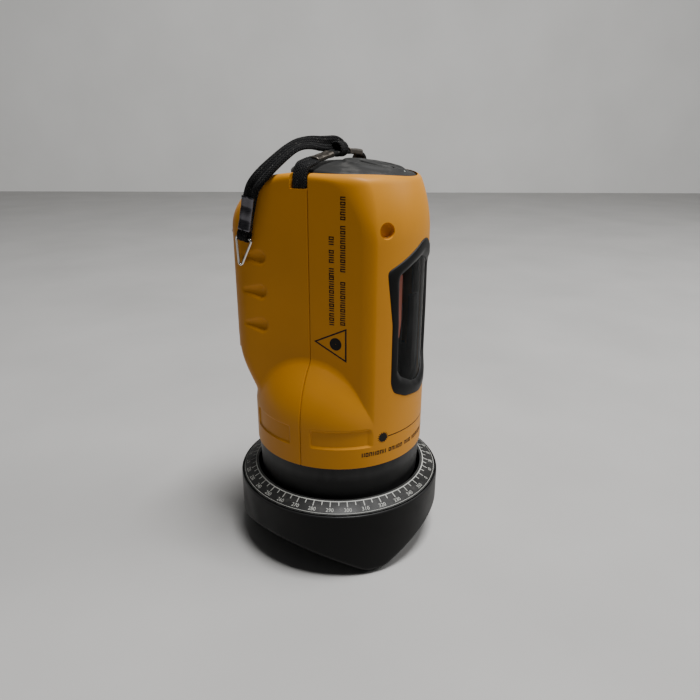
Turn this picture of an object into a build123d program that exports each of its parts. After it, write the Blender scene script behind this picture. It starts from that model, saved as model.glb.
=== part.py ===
"""Self-levelling line laser: a clamshell head that turns on a graduated base, with a wrist strap.

Frame: millimetres, +Z up, origin on the table under the turning axis.
The laser window faces -Y, the battery door +Y, and the head's flat sides face -X and +X.
"""

import os
from math import cos, pi, radians, sin, tan

from build123d import *

# ---- driving dimensions -------------------------------------------------------------
BASE_R = 48.4  # round base, outside
RIM_Z = 32.0  # top of the base wall
FOOT_H = 1.2  # rubber pads under the base
CUT_SLOPE = 0.68  # rise over run of the three sloped cuts under the base
CUT_FLAT = 27.0  # distance from the axis to where each cut leaves the flat foot
CUT_ANGLES = (45, 165, 285)
LOBE_ANGLES = (105, 225, 345)
DIAL_R, DIAL_HOLE_R, DIAL_RISE = 47.4, 39.9, 3.2

SHELL_Z = 50.0  # lower edge of the yellow shells
TOP_Z = 172.8  # crest of the yellow shells
FOOT_R = 39.4  # round lower part of the shells
DOME_Z = 68.0  # where the round part starts to close over as a dome
HALF_W = 28.8  # half the thickness across the flat sides
REAR_Y = 40.5  # flat rear face
REAR_CORNER = 10.0
CAP_Z = 146.0  # where the round front starts to lean back
LEAN_R, LEAN_TURN, BROW_R = 62.0, 21.2, 6.9
WALL = 2.4

PAD_CENTRE_Y, PAD_HALF_X, PAD_HALF_Y = -6.8, 24.5, 26.8
PAD_SEAT_Z, PAD_CROWN_Z = 166.5, 175.9
GAP = 0.1  # between nested curved pieces of one body
RUNNING = 0.05  # radial clearance of every pin and shaft

SHAFT_R = 5.95
PIVOT = Vector(0, -2, 146)  # where the two gimbal axes cross
PIN_R = 1.45  # gimbal pins
HINGE = Vector(0, 38.5, 147)  # battery door's hinge rod
HINGE_R = 0.8
DOOR_HALF_X, DOOR_LOW_Z = 22.0, 93.5
UPPER_SCREW = (22.7, 151.4)  # x and z of the two upper shell screws
LOWER_SCREW = (20.0, 73.0)

STRAP_R = 1.3  # plain tube that stands for the flat strap
RING_WIRE_R = 0.55
ARC_SHARE = 0.45  # part of the shorter run that each arc of a cord takes up

CROSS_ROUTE = [
    (-27.7, 3.9, 166.2),
    (-27.7, 3.9, 173.8),
    (-22.6, 2.4, 175.9),
    (-5.4, -0.1, 178.9),
    (1.2, -1.0, 179.7),
    (17.0, -2.4, 178.4),
    (23.4, 0.4, 176.0),
    (27.7, 3.9, 173.8),
    (27.7, 3.9, 166.2),
]
MAIN_ROUTE = [
    (0.9, -0.8, 178.4),
    (0.5, -0.5, 182.6),
    (-7.0, 3.9, 182.1),
    (-12.5, 7.0, 182.9),
    (-18.5, 10.6, 181.9),
    (-25.2, 14.6, 176.8),
    (-31.2, 20.6, 169.4),
    (-31.0, 24.8, 163.9),
    (-31.0, 28.0, 148.9),
]


# ---- shapes used more than once -----------------------------------------------------
def polar(radius, angle, height=0.0):
    """Point at a radius and angle, in degrees, about the turning axis."""
    return Vector(radius * cos(radians(angle)), radius * sin(radians(angle)), height)


def rod(start, end, radius):
    """Round bar from one point to another."""
    line = Vector(end) - Vector(start)
    with BuildPart() as bar:
        with BuildSketch(Plane(origin=start, z_dir=line)):
            Circle(radius)
        extrude(amount=line.length)
    return bar.part


def block(low, high):
    """Box between its lowest and highest corners."""
    size = Vector(high) - Vector(low)
    with BuildPart(Plane(origin=low)) as box:
        Box(size.X, size.Y, size.Z, align=(Align.MIN, Align.MIN, Align.MIN))
    return box.part


def socket_screw(head, tip, shank_r, head_r, head_h):
    """Cap screw whose head's top is at one point and whose shank ends at the other."""
    line = (Vector(tip) - Vector(head)).normalized()
    seat = Vector(head) + line * head_h
    with BuildPart() as screw:
        add(rod(head, seat, head_r))
        add(rod(seat, tip, shank_r))
        with BuildSketch(Plane(origin=head, z_dir=line)):
            Rectangle(head_r * 1.3, head_r * 0.3)
            Rectangle(head_r * 0.3, head_r * 1.3)
        extrude(amount=head_h * 0.5, mode=Mode.SUBTRACT)
    return screw.part


def cut_wedge(angle, lift):
    """What lies below one sloped cut under the base, raised by lift."""
    outward = polar(1, angle)
    with BuildPart() as wedge:
        cut_plane = Plane(origin=(0, 0, FOOT_H + lift), x_dir=outward, z_dir=(outward.Y, -outward.X, 0))
        with BuildSketch(cut_plane):
            with BuildLine():
                Polyline(
                    (CUT_FLAT - 10, -10 * CUT_SLOPE),
                    (CUT_FLAT + 30, 30 * CUT_SLOPE),
                    (CUT_FLAT + 30, -10 * CUT_SLOPE),
                    close=True,
                )
            make_face()
        extrude(amount=BASE_R * 1.4, both=True)
    return wedge.part


def cord_tube(route, radius):
    """Tube of straight runs joined by tangent arcs, each as large as its runs allow."""
    points = [Vector(point) for point in route]
    radii = []
    for before, corner, after in zip(points, points[1:], points[2:]):
        run_in, run_out = corner - before, after - corner
        turn = radians(run_in.get_angle(run_out))
        radii.append(ARC_SHARE * min(run_in.length, run_out.length) / tan(turn / 2))
    print("cord radii, mm:", [round(value, 1) for value in radii])
    with BuildPart() as tube:
        with BuildLine():
            course = FilletPolyline(*points, radius=radii)
        with BuildSketch(Plane(origin=course @ 0, z_dir=course % 0)):
            Circle(radius)
        sweep()
    ratio = tube.part.volume / (pi * radius**2 * course.length)
    print("cord length", round(course.length, 1), "volume over section times length", round(ratio, 4))
    return tube.part


def oval(semi_x, semi_y):
    """Outline of the top pad, for use inside a sketch."""
    with Locations((0, PAD_CENTRE_Y)):
        return Ellipse(semi_x, semi_y)


# ---- outer form of the head ---------------------------------------------------------
def slab_form(wall):
    """Flat-sided upper part of the head, drawn in by wall all round."""
    with BuildPart() as slab:
        with BuildSketch(Plane.XY.offset(SHELL_Z)):
            with Locations((0, REAR_Y - wall)):
                Rectangle(2 * (HALF_W - wall), 2 * FOOT_R + 10, align=(Align.CENTER, Align.MAX))
        extrude(amount=TOP_Z - SHELL_Z - wall)
        rear_edges = slab.edges().filter_by(Axis.Z).group_by(Axis.Y)[-1]
        fillet(rear_edges, REAR_CORNER - wall)
        with BuildSketch(Plane.YZ):
            with BuildLine():
                crest = Line((-FOOT_R - 10, TOP_Z), (4, TOP_Z))
                slope = JernArc(crest @ 1, crest % 1, 46.7, -40)
                corner_r = (REAR_Y - slope.position_at(1).X) / (1 - cos(radians(50)))
                corner = JernArc(slope @ 1, slope % 1, corner_r, -50)
                Polyline(
                    corner @ 1,
                    (REAR_Y, 90),
                    (32, 71),
                    (32, SHELL_Z - 10),
                    (-FOOT_R - 10, SHELL_Z - 10),
                    (-FOOT_R - 10, TOP_Z),
                )
            make_face()
            if wall:
                offset(amount=-wall, mode=Mode.REPLACE)
        extrude(amount=HALF_W, both=True, mode=Mode.INTERSECT)
        add(front_cap(wall), mode=Mode.INTERSECT)
    return slab.part


def front_cap(wall):
    """Round front that leans back to the crest, and a rear that narrows to the round foot."""
    crest_z, low_z = TOP_Z - wall, SHELL_Z - 10
    with BuildPart() as cap:
        with BuildSketch(Plane.XZ):
            with BuildLine():
                front = Line((FOOT_R - wall, low_z), (FOOT_R - wall, CAP_Z))
                lean = JernArc(front @ 1, front % 1, LEAN_R - wall, LEAN_TURN)
                brow = JernArc(lean @ 1, lean % 1, BROW_R - wall, 90 - LEAN_TURN)
                Polyline(brow @ 1, (0, (brow @ 1).Y), (0, low_z), (FOOT_R - wall, low_z))
            make_face()
        revolve(axis=Axis.Z, revolution_arc=-180)
        with BuildSketch(Plane.XZ):
            with BuildLine():
                Polyline(
                    (0, low_z),
                    (FOOT_R - 1 - wall, low_z),
                    (FOOT_R - 1 - wall, 68),
                    (46.2 - wall, 90),
                    (46.2 - wall, crest_z + 10),
                    (0, crest_z + 10),
                    close=True,
                )
            make_face()
        revolve(axis=Axis.Z, revolution_arc=180)
    return cap.part


def foot_form(wall):
    """Round lower part of the head with its dome, drawn in by wall."""
    radius = FOOT_R - wall
    with BuildPart() as foot:
        with BuildSketch(Plane.XZ):
            with BuildLine():
                Polyline((0, DOME_Z + radius), (0, SHELL_Z), (radius, SHELL_Z), (radius, DOME_Z))
                CenterArc((0, DOME_Z), radius, 0, 90)
            make_face()
        revolve(axis=Axis.Z)
    return foot.part


def head_form(wall):
    with BuildPart() as form:
        add(slab_form(wall))
        add(foot_form(wall))
    return form.part


OUTER = head_form(0)
INNER = head_form(WALL)


def in_head(shape):
    """The part of a shape that lies inside the head's outer form."""
    with BuildPart() as clipped:
        add(shape)
        add(OUTER, mode=Mode.INTERSECT)
    return clipped.part


# ---- base ---------------------------------------------------------------------------
DECK_Z, DECK_T, FLOOR_T = 30.0, 3.0, 2.0
COVER_R = 23.8
CAVITY_R = 44.6
BUSH_R, BUSH_LOW_Z = 9.0, 16.0
POST_AT, POST_R = 18.0, 3.4

with BuildPart() as base_cavity:
    with Locations((0, 0, FOOT_H + FLOOR_T)):
        Cylinder(CAVITY_R, DECK_Z - DECK_T - FOOT_H - FLOOR_T, align=(Align.CENTER, Align.CENTER, Align.MIN))
    for cut_angle in CUT_ANGLES:
        add(cut_wedge(cut_angle, 3.2), mode=Mode.SUBTRACT)

with BuildPart() as base_housing:
    with BuildSketch(Plane.XZ):
        with BuildLine():
            Polyline(
                (BASE_R, FOOT_H + 1.5),
                (BASE_R, RIM_Z - 0.8),
                (BASE_R - 0.8, RIM_Z),
                (DIAL_R + GAP, RIM_Z),
            )
            Polyline((DIAL_R + GAP, RIM_Z), (DIAL_R + GAP, DECK_Z), (0, DECK_Z), (0, FOOT_H))
            Polyline((0, FOOT_H), (BASE_R - 1.5, FOOT_H), (BASE_R, FOOT_H + 1.5))
        make_face()
    revolve(axis=Axis.Z)
    for cut_angle in CUT_ANGLES:
        add(cut_wedge(cut_angle, 0), mode=Mode.SUBTRACT)
    add(base_cavity.part, mode=Mode.SUBTRACT)
    with BuildSketch(Plane.XY.offset(FOOT_H)):
        Circle(COVER_R + GAP)
    extrude(amount=FLOOR_T, mode=Mode.SUBTRACT)
    with BuildSketch(Plane.XY.offset(BUSH_LOW_Z)):
        Circle(BUSH_R + 3)
    extrude(amount=DECK_Z - DECK_T - BUSH_LOW_Z + 0.5)
    with BuildSketch(Plane.XY.offset(FOOT_H + FLOOR_T)):
        with PolarLocations(POST_AT, 3, start_angle=CUT_ANGLES[0]):
            Circle(POST_R)
    extrude(amount=DECK_Z - DECK_T - FOOT_H - FLOOR_T + 0.5)
    with BuildSketch(Plane.XY.offset(FOOT_H)):
        with PolarLocations(POST_AT, 3, start_angle=CUT_ANGLES[0]):
            Circle(1.3)
    extrude(amount=12, mode=Mode.SUBTRACT)
    with BuildSketch(Plane.XY.offset(BUSH_LOW_Z - 1)):
        Circle(BUSH_R)
    extrude(amount=DECK_Z - BUSH_LOW_Z + 2, mode=Mode.SUBTRACT)

with BuildPart() as dial_ring:
    with BuildSketch(Plane.XZ):
        with BuildLine():
            Polyline(
                (DIAL_HOLE_R, DECK_Z),
                (DIAL_R, DECK_Z),
                (DIAL_R, RIM_Z),
                (DIAL_HOLE_R + 0.5, RIM_Z + DIAL_RISE),
                (DIAL_HOLE_R, RIM_Z + DIAL_RISE - 0.3),
                close=True,
            )
        make_face()
    revolve(axis=Axis.Z)

with BuildPart() as base_cover:
    with BuildSketch(Plane.XY.offset(FOOT_H)):
        Circle(COVER_R)
    extrude(amount=FLOOR_T)
    with BuildSketch(Plane.XY.offset(FOOT_H + FLOOR_T)):
        Circle(8)
    extrude(amount=6.5)
    with BuildSketch(Plane.XY.offset(FOOT_H)):
        Circle(5)
    extrude(amount=10, mode=Mode.SUBTRACT)
    with BuildSketch(Plane.XY.offset(FOOT_H)):
        with PolarLocations(POST_AT, 3, start_angle=CUT_ANGLES[0]):
            Circle(1.5)
    extrude(amount=4, mode=Mode.SUBTRACT)
    with BuildSketch(Plane.XY.offset(FOOT_H)):
        with PolarLocations(POST_AT, 3, start_angle=CUT_ANGLES[0]):
            Circle(2.9)
    extrude(amount=1.0, mode=Mode.SUBTRACT)

with BuildPart() as tripod_insert:
    with BuildSketch(Plane.XY.offset(FOOT_H)):
        RegularPolygon(5, 24)
        Circle(2.6, mode=Mode.SUBTRACT)
    extrude(amount=8)

with BuildPart() as cover_screws:
    for cut_angle in CUT_ANGLES:
        head_at = polar(POST_AT, cut_angle, FOOT_H)
        add(socket_screw(head_at, head_at + Vector(0, 0, 9), 1.25, 2.7, 1.0))

with BuildPart() as rubber_feet:
    with BuildSketch(Plane.XY):
        with PolarLocations(38, 3, start_angle=LOBE_ANGLES[0]):
            Circle(5)
    extrude(amount=FOOT_H)

with BuildPart() as pivot_bush:
    with BuildSketch(Plane.XY.offset(BUSH_LOW_Z)):
        Circle(BUSH_R - 0.02)
        Circle(SHAFT_R + RUNNING, mode=Mode.SUBTRACT)
    extrude(amount=DECK_Z - BUSH_LOW_Z)
    with BuildSketch(Plane.XY.offset(DECK_Z)):
        Circle(BUSH_R + 3)
        Circle(SHAFT_R + RUNNING, mode=Mode.SUBTRACT)
    extrude(amount=0.8)

# ---- turning joint ------------------------------------------------------------------
WASHER_Z, COLLAR_Z, COLLAR_DISC_T = DECK_Z + 0.8, DECK_Z + 1.5, 2.6
SPIGOT_R = FOOT_R - WALL - GAP

with BuildPart() as friction_washer:
    with BuildSketch(Plane.XY.offset(WASHER_Z)):
        Circle(11.5)
        Circle(SHAFT_R + 0.2, mode=Mode.SUBTRACT)
    extrude(amount=COLLAR_Z - WASHER_Z)

with BuildPart() as swivel_collar:
    with BuildSketch(Plane.XZ):
        with BuildLine():
            Polyline(
                (SHAFT_R, COLLAR_Z),
                (37.4, COLLAR_Z),
                (38.0, COLLAR_Z + 1.5),
                (38.9, SHELL_Z),
                (SPIGOT_R, SHELL_Z),
                (SPIGOT_R, SHELL_Z + 6),
                (SPIGOT_R - 2.2, SHELL_Z + 6),
                (SPIGOT_R - 2.2, COLLAR_Z + COLLAR_DISC_T),
                (SHAFT_R, COLLAR_Z + COLLAR_DISC_T),
                close=True,
            )
        make_face()
    revolve(axis=Axis.Z)

with BuildPart() as pivot_shaft:
    with BuildSketch(Plane.XY.offset(11.0)):
        Circle(SHAFT_R)
    extrude(amount=COLLAR_Z + COLLAR_DISC_T + 2 - 11.0)
    with BuildSketch(Plane.XY.offset(COLLAR_Z + COLLAR_DISC_T)):
        Circle(10)
    extrude(amount=2)
    chamfer(pivot_shaft.edges().group_by(Axis.Z)[0], 0.6)

with BuildPart() as shaft_nut:
    with BuildSketch(Plane.XY.offset(12.4)):
        RegularPolygon(9.5, 6)
        Circle(SHAFT_R, mode=Mode.SUBTRACT)
    extrude(amount=BUSH_LOW_Z - 0.2 - 12.4)


# ---- shells -------------------------------------------------------------------------
SLOT_Y, SLOT_Z, SLOT_X = 7.8, 166.0, 24.0
PIN_X, PIN_Z = 25.4, 168.4
SEAT_T = 2.2
SWITCH_Y = -17.0  # centre of the power button
LED_Y = -28.6
KEYPAD_Z, BOARD_T = 161.0, 1.6
TRAY_Y, TRAY_T = 20.6, 1.6
BRACKET_Z, BRACKET_SCREW_Y = 156.4, (-12, -4)


def window_prism(inset):
    """Prism toward -Y on the shield-shaped outline of the laser window, drawn in by inset."""
    with BuildPart() as prism:
        with BuildSketch(Plane.XZ) as outline:
            with BuildLine():
                foot = ThreePointArc((-18.6, 82.6), (0, 77.2), (18.6, 82.6))
                Polyline(foot @ 1, (20.3, 86), (20.3, 112), (22.8, 135.6), (3.5, 145.6), (-3.5, 145.6))
                Polyline((-3.5, 145.6), (-22.8, 135.6), (-20.3, 112), (-20.3, 86), foot @ 0)
            make_face()
            fillet(outline.vertices().filter_by(lambda corner: corner.Y > 140), 4)
            fillet(outline.vertices().filter_by(lambda corner: 130 < corner.Y < 140), 3)
            fillet(outline.vertices().filter_by(lambda corner: corner.Y < 90), 1.5)
            if inset:
                offset(amount=-inset, mode=Mode.REPLACE)
        extrude(amount=FOOT_R + 6)
    return prism.part


def round_wall(low_r, high_r):
    """Tube about the turning axis, tall enough for the window."""
    with BuildPart() as wall:
        with BuildSketch(Plane.XY.offset(60)):
            Circle(high_r)
            Circle(low_r, mode=Mode.SUBTRACT)
        extrude(amount=100)
    return wall.part


def window_piece(inset, low_r, high_r, inner_inset=None):
    """Piece of a round wall about the turning axis that fills the window outline."""
    with BuildPart() as piece:
        add(window_prism(inset))
        if inner_inset is not None:
            add(window_prism(inner_inset), mode=Mode.SUBTRACT)
        add(round_wall(low_r, high_r), mode=Mode.INTERSECT)
    return piece.part


def oval_prism(semi_shift, low_z, height):
    """Prism on the top pad's outline, larger or smaller by semi_shift."""
    with BuildPart() as prism:
        with BuildSketch(Plane.XY.offset(low_z)):
            oval(PAD_HALF_X + semi_shift, PAD_HALF_Y + semi_shift)
        extrude(amount=height)
    return prism.part


with BuildPart() as both_shells:
    add(OUTER)
    add(INNER, mode=Mode.SUBTRACT)
    add(in_head(oval_prism(2.0, PAD_SEAT_Z - SEAT_T, SEAT_T + 3.5)))
    for side in (-1, 1):
        add(in_head(block((side * PIN_X - 3, -2.6, 162), (side * PIN_X + 3, 10.4, 172))))
        add(in_head(block((side * 26 - 1.4, 16.9, 95), (side * 26 + 1.4, TRAY_Y - TRAY_T, 147))))
        for screw_y in BRACKET_SCREW_Y:
            add(rod((side * 15, screw_y, BRACKET_Z + 2.4), (side * 15, screw_y, PAD_SEAT_Z - 1), 3))
        for post_y in (-27, -4):
            add(rod((side * 8.5, post_y, KEYPAD_Z + BOARD_T), (side * 8.5, post_y, PAD_SEAT_Z - 1), 1.6))
        upper_x, upper_z = side * UPPER_SCREW[0], UPPER_SCREW[1]
        add(in_head(rod((upper_x, -32, upper_z), (upper_x, 9, upper_z), 4.9)))
        lower_x, lower_z = side * LOWER_SCREW[0], LOWER_SCREW[1]
        add(in_head(rod((lower_x, -32, lower_z), (lower_x, 34, lower_z), 4.4)))
    add(oval_prism(GAP, PAD_SEAT_Z, 12), mode=Mode.SUBTRACT)
    with BuildSketch(Plane.XY.offset(PAD_SEAT_Z - SEAT_T - 1)):
        with Locations((0, SWITCH_Y)):
            Rectangle(13, 15)
        with Locations((0, LED_Y)):
            Circle(1.3)
    extrude(amount=6, mode=Mode.SUBTRACT)
    for side in (-1, 1):
        for screw_y in BRACKET_SCREW_Y:
            add(rod((side * 15, screw_y, 150), (side * 15, screw_y, 162), 1.2), mode=Mode.SUBTRACT)
        screw_x, screw_z = side * UPPER_SCREW[0], UPPER_SCREW[1]
        add(rod((screw_x, -42, screw_z), (screw_x, -25, screw_z), 3.8), mode=Mode.SUBTRACT)
        add(rod((screw_x, -26, screw_z), (screw_x, 0, screw_z), 1.7), mode=Mode.SUBTRACT)
        add(rod((screw_x, -1, screw_z), (screw_x, 6, screw_z), 1.25), mode=Mode.SUBTRACT)
        screw_x, screw_z = side * LOWER_SCREW[0], LOWER_SCREW[1]
        add(rod((screw_x, 44, screw_z), (screw_x, 26, screw_z), 3.8), mode=Mode.SUBTRACT)
        add(rod((screw_x, 27, screw_z), (screw_x, 0, screw_z), 1.7), mode=Mode.SUBTRACT)
        add(rod((screw_x, 1, screw_z), (screw_x, -6, screw_z), 1.25), mode=Mode.SUBTRACT)
        slot_x = side * (SLOT_X + 5)
        add(block((slot_x - 5, 0, SLOT_Z), (slot_x + 5, SLOT_Y, 180)), mode=Mode.SUBTRACT)
        add(rod((side * PIN_X, -1.8, PIN_Z), (side * PIN_X, 9.6, PIN_Z), 1.1), mode=Mode.SUBTRACT)

with BuildPart() as front_shell:
    add(both_shells.part)
    with Locations((0, 0, SHELL_Z - 20)):
        Box(100, 100, 200, align=(Align.CENTER, Align.MIN, Align.MIN), mode=Mode.SUBTRACT)
    add(window_prism(0), mode=Mode.SUBTRACT)

DOOR_T, KNUCKLE_R = 2.2, 2.0
OPENING_TOP_Z = HINGE.Z + KNUCKLE_R + 0.4

with BuildPart() as rear_shell:
    add(both_shells.part)
    with Locations((0, 0, SHELL_Z - 20)):
        Box(100, 100, 200, align=(Align.CENTER, Align.MAX, Align.MIN), mode=Mode.SUBTRACT)
    add(
        block(
            (-DOOR_HALF_X - 3, REAR_Y - 6, DOOR_LOW_Z - 3),
            (DOOR_HALF_X + 3, REAR_Y - 2.3, OPENING_TOP_Z + 2),
        ),
        mode=Mode.ADD,
    )
    add(
        block(
            (-DOOR_HALF_X + 1.5, REAR_Y - 7, DOOR_LOW_Z + 1.5),
            (DOOR_HALF_X - 1.5, REAR_Y + 2, OPENING_TOP_Z),
        ),
        mode=Mode.SUBTRACT,
    )
    add(
        block(
            (-DOOR_HALF_X - 0.3, REAR_Y - 2.3, DOOR_LOW_Z - 0.3),
            (DOOR_HALF_X + 0.3, REAR_Y + 2, OPENING_TOP_Z),
        ),
        mode=Mode.SUBTRACT,
    )
    add(
        block((-DOOR_HALF_X - 0.3, REAR_Y - 5, HINGE.Z - 3), (DOOR_HALF_X + 0.3, REAR_Y + 2, OPENING_TOP_Z)),
        mode=Mode.SUBTRACT,
    )
    add(
        rod((-DOOR_HALF_X - 2.3, HINGE.Y, HINGE.Z), (DOOR_HALF_X + 2.3, HINGE.Y, HINGE.Z), HINGE_R),
        mode=Mode.SUBTRACT,
    )

with BuildPart() as upper_shell_screws:
    for side in (-1, 1):
        head_at = Vector(side * UPPER_SCREW[0], -28, UPPER_SCREW[1])
        add(socket_screw(head_at, head_at + Vector(0, 33, 0), 1.25, 3.0, 3.0))

with BuildPart() as lower_shell_screws:
    for side in (-1, 1):
        head_at = Vector(side * LOWER_SCREW[0], 29, LOWER_SCREW[1])
        add(socket_screw(head_at, head_at - Vector(0, 34, 0), 1.25, 3.0, 3.0))

# ---- laser window -------------------------------------------------------------------
BEZEL_PROUD = 0.4
LENS_OUT_R, LENS_T = 37.9, 1.6

with BuildPart() as window_bezel:
    add(window_piece(GAP, LENS_OUT_R + GAP, FOOT_R + BEZEL_PROUD, inner_inset=4.6))

with BuildPart() as window_lens:
    add(window_piece(1.0, LENS_OUT_R - LENS_T, LENS_OUT_R))

with BuildPart() as hood_sill:
    with BuildSketch(Plane.YZ):
        with BuildLine():
            Polyline(
                (-34.4, 78.5),
                (-34.4, 81.5),
                (-26.5, 94),
                (-24.5, 94),
                (-24.5, 92),
                (-31.5, 78.5),
                close=True,
            )
        make_face()
    extrude(amount=16.2, both=True)
    for side in (-1, 1):
        add(block((side * 10 - 3, -33.2, 80), (side * 10 + 3, -30.6, 119)))
    add(round_wall(1, LENS_OUT_R - LENS_T - GAP), mode=Mode.INTERSECT)

with BuildPart() as beam_hood:
    add(window_piece(1.0, LENS_OUT_R - LENS_T - 2.2, LENS_OUT_R - LENS_T - GAP, inner_inset=4.6))
    add(hood_sill.part)

# ---- top pad, button and lamp -------------------------------------------------------
PAD_SPHERE_R = 88.0
BUTTON_STEM_Z, BUTTON_PROUD = 168.4, 0.7
BUTTON_X, BUTTON_Y = 9.0, 15.0


def pad_crown(lift):
    """Shallow dome over the pad, as a ball cut by whatever it is joined with."""
    with BuildPart() as ball:
        with Locations((0, -3, PAD_CROWN_Z + lift - PAD_SPHERE_R)):
            Sphere(PAD_SPHERE_R)
    return ball.part


def button_outline(grow):
    with Locations((0, SWITCH_Y)):
        return SlotOverall(BUTTON_Y + 2 * grow, BUTTON_X + 2 * grow, rotation=90)


with BuildPart() as top_pad:
    add(oval_prism(0, PAD_SEAT_Z, 12))
    add(pad_crown(0), mode=Mode.INTERSECT)
    with BuildSketch(Plane.XY.offset(PAD_SEAT_Z - 1)):
        button_outline(0.3)
        with Locations((0, LED_Y)):
            Circle(1.3 + GAP)
    extrude(amount=16, mode=Mode.SUBTRACT)

with BuildPart() as power_button:
    with BuildSketch(Plane.XY.offset(BUTTON_STEM_Z)):
        button_outline(0)
    extrude(amount=10)
    add(pad_crown(BUTTON_PROUD), mode=Mode.INTERSECT)

with BuildPart() as status_lamp:
    with BuildSketch(Plane.XY.offset(PAD_SEAT_Z - SEAT_T)):
        with Locations((0, LED_Y)):
            Circle(1.25)
    extrude(amount=8.0)
    fillet(status_lamp.edges().group_by(Axis.Z)[-1], 0.9)

with BuildPart() as keypad_board:
    with BuildSketch(Plane.XY.offset(KEYPAD_Z)):
        with Locations((0, -16)):
            Rectangle(22, 30)
    extrude(amount=BOARD_T)

with BuildPart() as tact_switch:
    add(block((-3, SWITCH_Y - 3, KEYPAD_Z + BOARD_T), (3, SWITCH_Y + 3, 166.0)))
    add(rod((0, SWITCH_Y, 166.0), (0, SWITCH_Y, 167.5), 1.7))

# ---- electronics and battery --------------------------------------------------------
CELL_R, CELL_Y, CELL_LOW_Z, CELL_H = 7.2, 28.4, 96.2, 49.3
CELL_PITCH = 14.8
BOARD_Y = 14.6

with BuildPart() as battery_tray:
    add(block((-26.2, TRAY_Y - TRAY_T, 95), (26.2, TRAY_Y, 147)))
    add(block((-24, TRAY_Y - TRAY_T, 92.5), (24, TRAY_Y, 149.5)))
    for low_z in (90.9, 147.9):
        add(block((-24, TRAY_Y - TRAY_T, low_z), (24, 34.0, low_z + 1.6)))
    for side in (-1, 1):
        add(block((side * 23.4 - 0.6, TRAY_Y - TRAY_T, 90.9), (side * 23.4 + 0.6, 34.0, 149.5)))
    for side in (-1, 1):
        for stud_z in (100, 142):
            add(rod((side * 17, BOARD_Y + BOARD_T, stud_z), (side * 17, TRAY_Y - 1, stud_z), 2.6))
    for side in (-1, 1):
        for stud_z in (100, 142):
            add(
                rod((side * 17, BOARD_Y, stud_z), (side * 17, TRAY_Y - 1, stud_z), 1.0),
                mode=Mode.SUBTRACT,
            )

with BuildPart() as battery_cells:
    for index in (-1, 0, 1):
        cell_x = index * CELL_PITCH
        low = Vector(cell_x, CELL_Y, CELL_LOW_Z)
        add(rod(low, low + Vector(0, 0, CELL_H), CELL_R))
        add(rod(low + Vector(0, 0, CELL_H), low + Vector(0, 0, CELL_H + 1.2), 2.7))

with BuildPart() as contact_springs:
    for index in (-1, 0, 1):
        for turn in range(4):
            with Locations((index * CELL_PITCH, CELL_Y, 93.5 + 0.73 * turn)):
                Torus(4.2 - 0.45 * turn, 0.4)
        add(rod((index * CELL_PITCH, CELL_Y, 93.0), (index * CELL_PITCH, CELL_Y, CELL_LOW_Z - GAP), 3.5))
        add(
            rod((index * CELL_PITCH, CELL_Y, 93.0), (index * CELL_PITCH, CELL_Y, CELL_LOW_Z), 2.6),
            mode=Mode.SUBTRACT,
        )

with BuildPart() as contact_plates:
    for index in (-1, 0, 1):
        plate_x = index * CELL_PITCH
        add(block((plate_x - 5, CELL_Y - 5, 92.5), (plate_x + 5, CELL_Y + 4, 93.0)))
        add(block((plate_x - 5, CELL_Y - 5, 147.2), (plate_x + 5, CELL_Y + 4, 147.9)))

with BuildPart() as main_board:
    with BuildSketch(Plane.XZ.offset(-BOARD_Y - BOARD_T)):
        with Locations((0, 121)):
            RectangleRounded(42, 52, 2)
            with GridLocations(34, 42, 2, 2):
                Circle(1.1, mode=Mode.SUBTRACT)
    extrude(amount=BOARD_T)
    add(block((-7, BOARD_Y - 1.2, 112), (3, BOARD_Y, 122)))
    add(block((9, BOARD_Y - 2.0, 128), (15, BOARD_Y, 133)))

with BuildPart() as board_screws:
    for side in (-1, 1):
        for stud_z in (100, 142):
            head_at = Vector(side * 17, BOARD_Y - 1.6, stud_z)
            add(socket_screw(head_at, head_at + Vector(0, 5.6, 0), 0.98, 1.9, 1.6))

# ---- battery door -------------------------------------------------------------------
with BuildPart() as battery_door:
    add(block((-DOOR_HALF_X, REAR_Y - DOOR_T, DOOR_LOW_Z), (DOOR_HALF_X, REAR_Y, HINGE.Z)))
    add(rod((-DOOR_HALF_X, HINGE.Y, HINGE.Z), (DOOR_HALF_X, HINGE.Y, HINGE.Z), KNUCKLE_R))
    add(
        rod((-DOOR_HALF_X - 1, HINGE.Y, HINGE.Z), (DOOR_HALF_X + 1, HINGE.Y, HINGE.Z), HINGE_R + RUNNING),
        mode=Mode.SUBTRACT,
    )
    for rib in range(4):
        with Locations((0, REAR_Y, DOOR_LOW_Z + 5 + 2.2 * rib)):
            Box(16, 1.0, 1.0, mode=Mode.SUBTRACT)
    add(block((-5, REAR_Y - 4.4, DOOR_LOW_Z + 2.0), (5, REAR_Y - DOOR_T, DOOR_LOW_Z + 4.0)))

with BuildPart() as door_hinge_rod:
    add(rod((-DOOR_HALF_X - 2.3, HINGE.Y, HINGE.Z), (DOOR_HALF_X + 2.3, HINGE.Y, HINGE.Z), HINGE_R))

# ---- gimbal and pendulum ------------------------------------------------------------
EAR_Y0, EAR_Y1 = 12.0, 14.6  # from the gimbal's centre
RING_OUT, RING_IN, RING_H = 10.8, 8.6, 6.0
YOKE_X = 5.6
BEARING_R = 3.0


def along_y(start, end):
    return PIVOT + Vector(0, start, 0), PIVOT + Vector(0, end, 0)


def along_x(start, end):
    return PIVOT + Vector(start, 0, 0), PIVOT + Vector(end, 0, 0)


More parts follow.
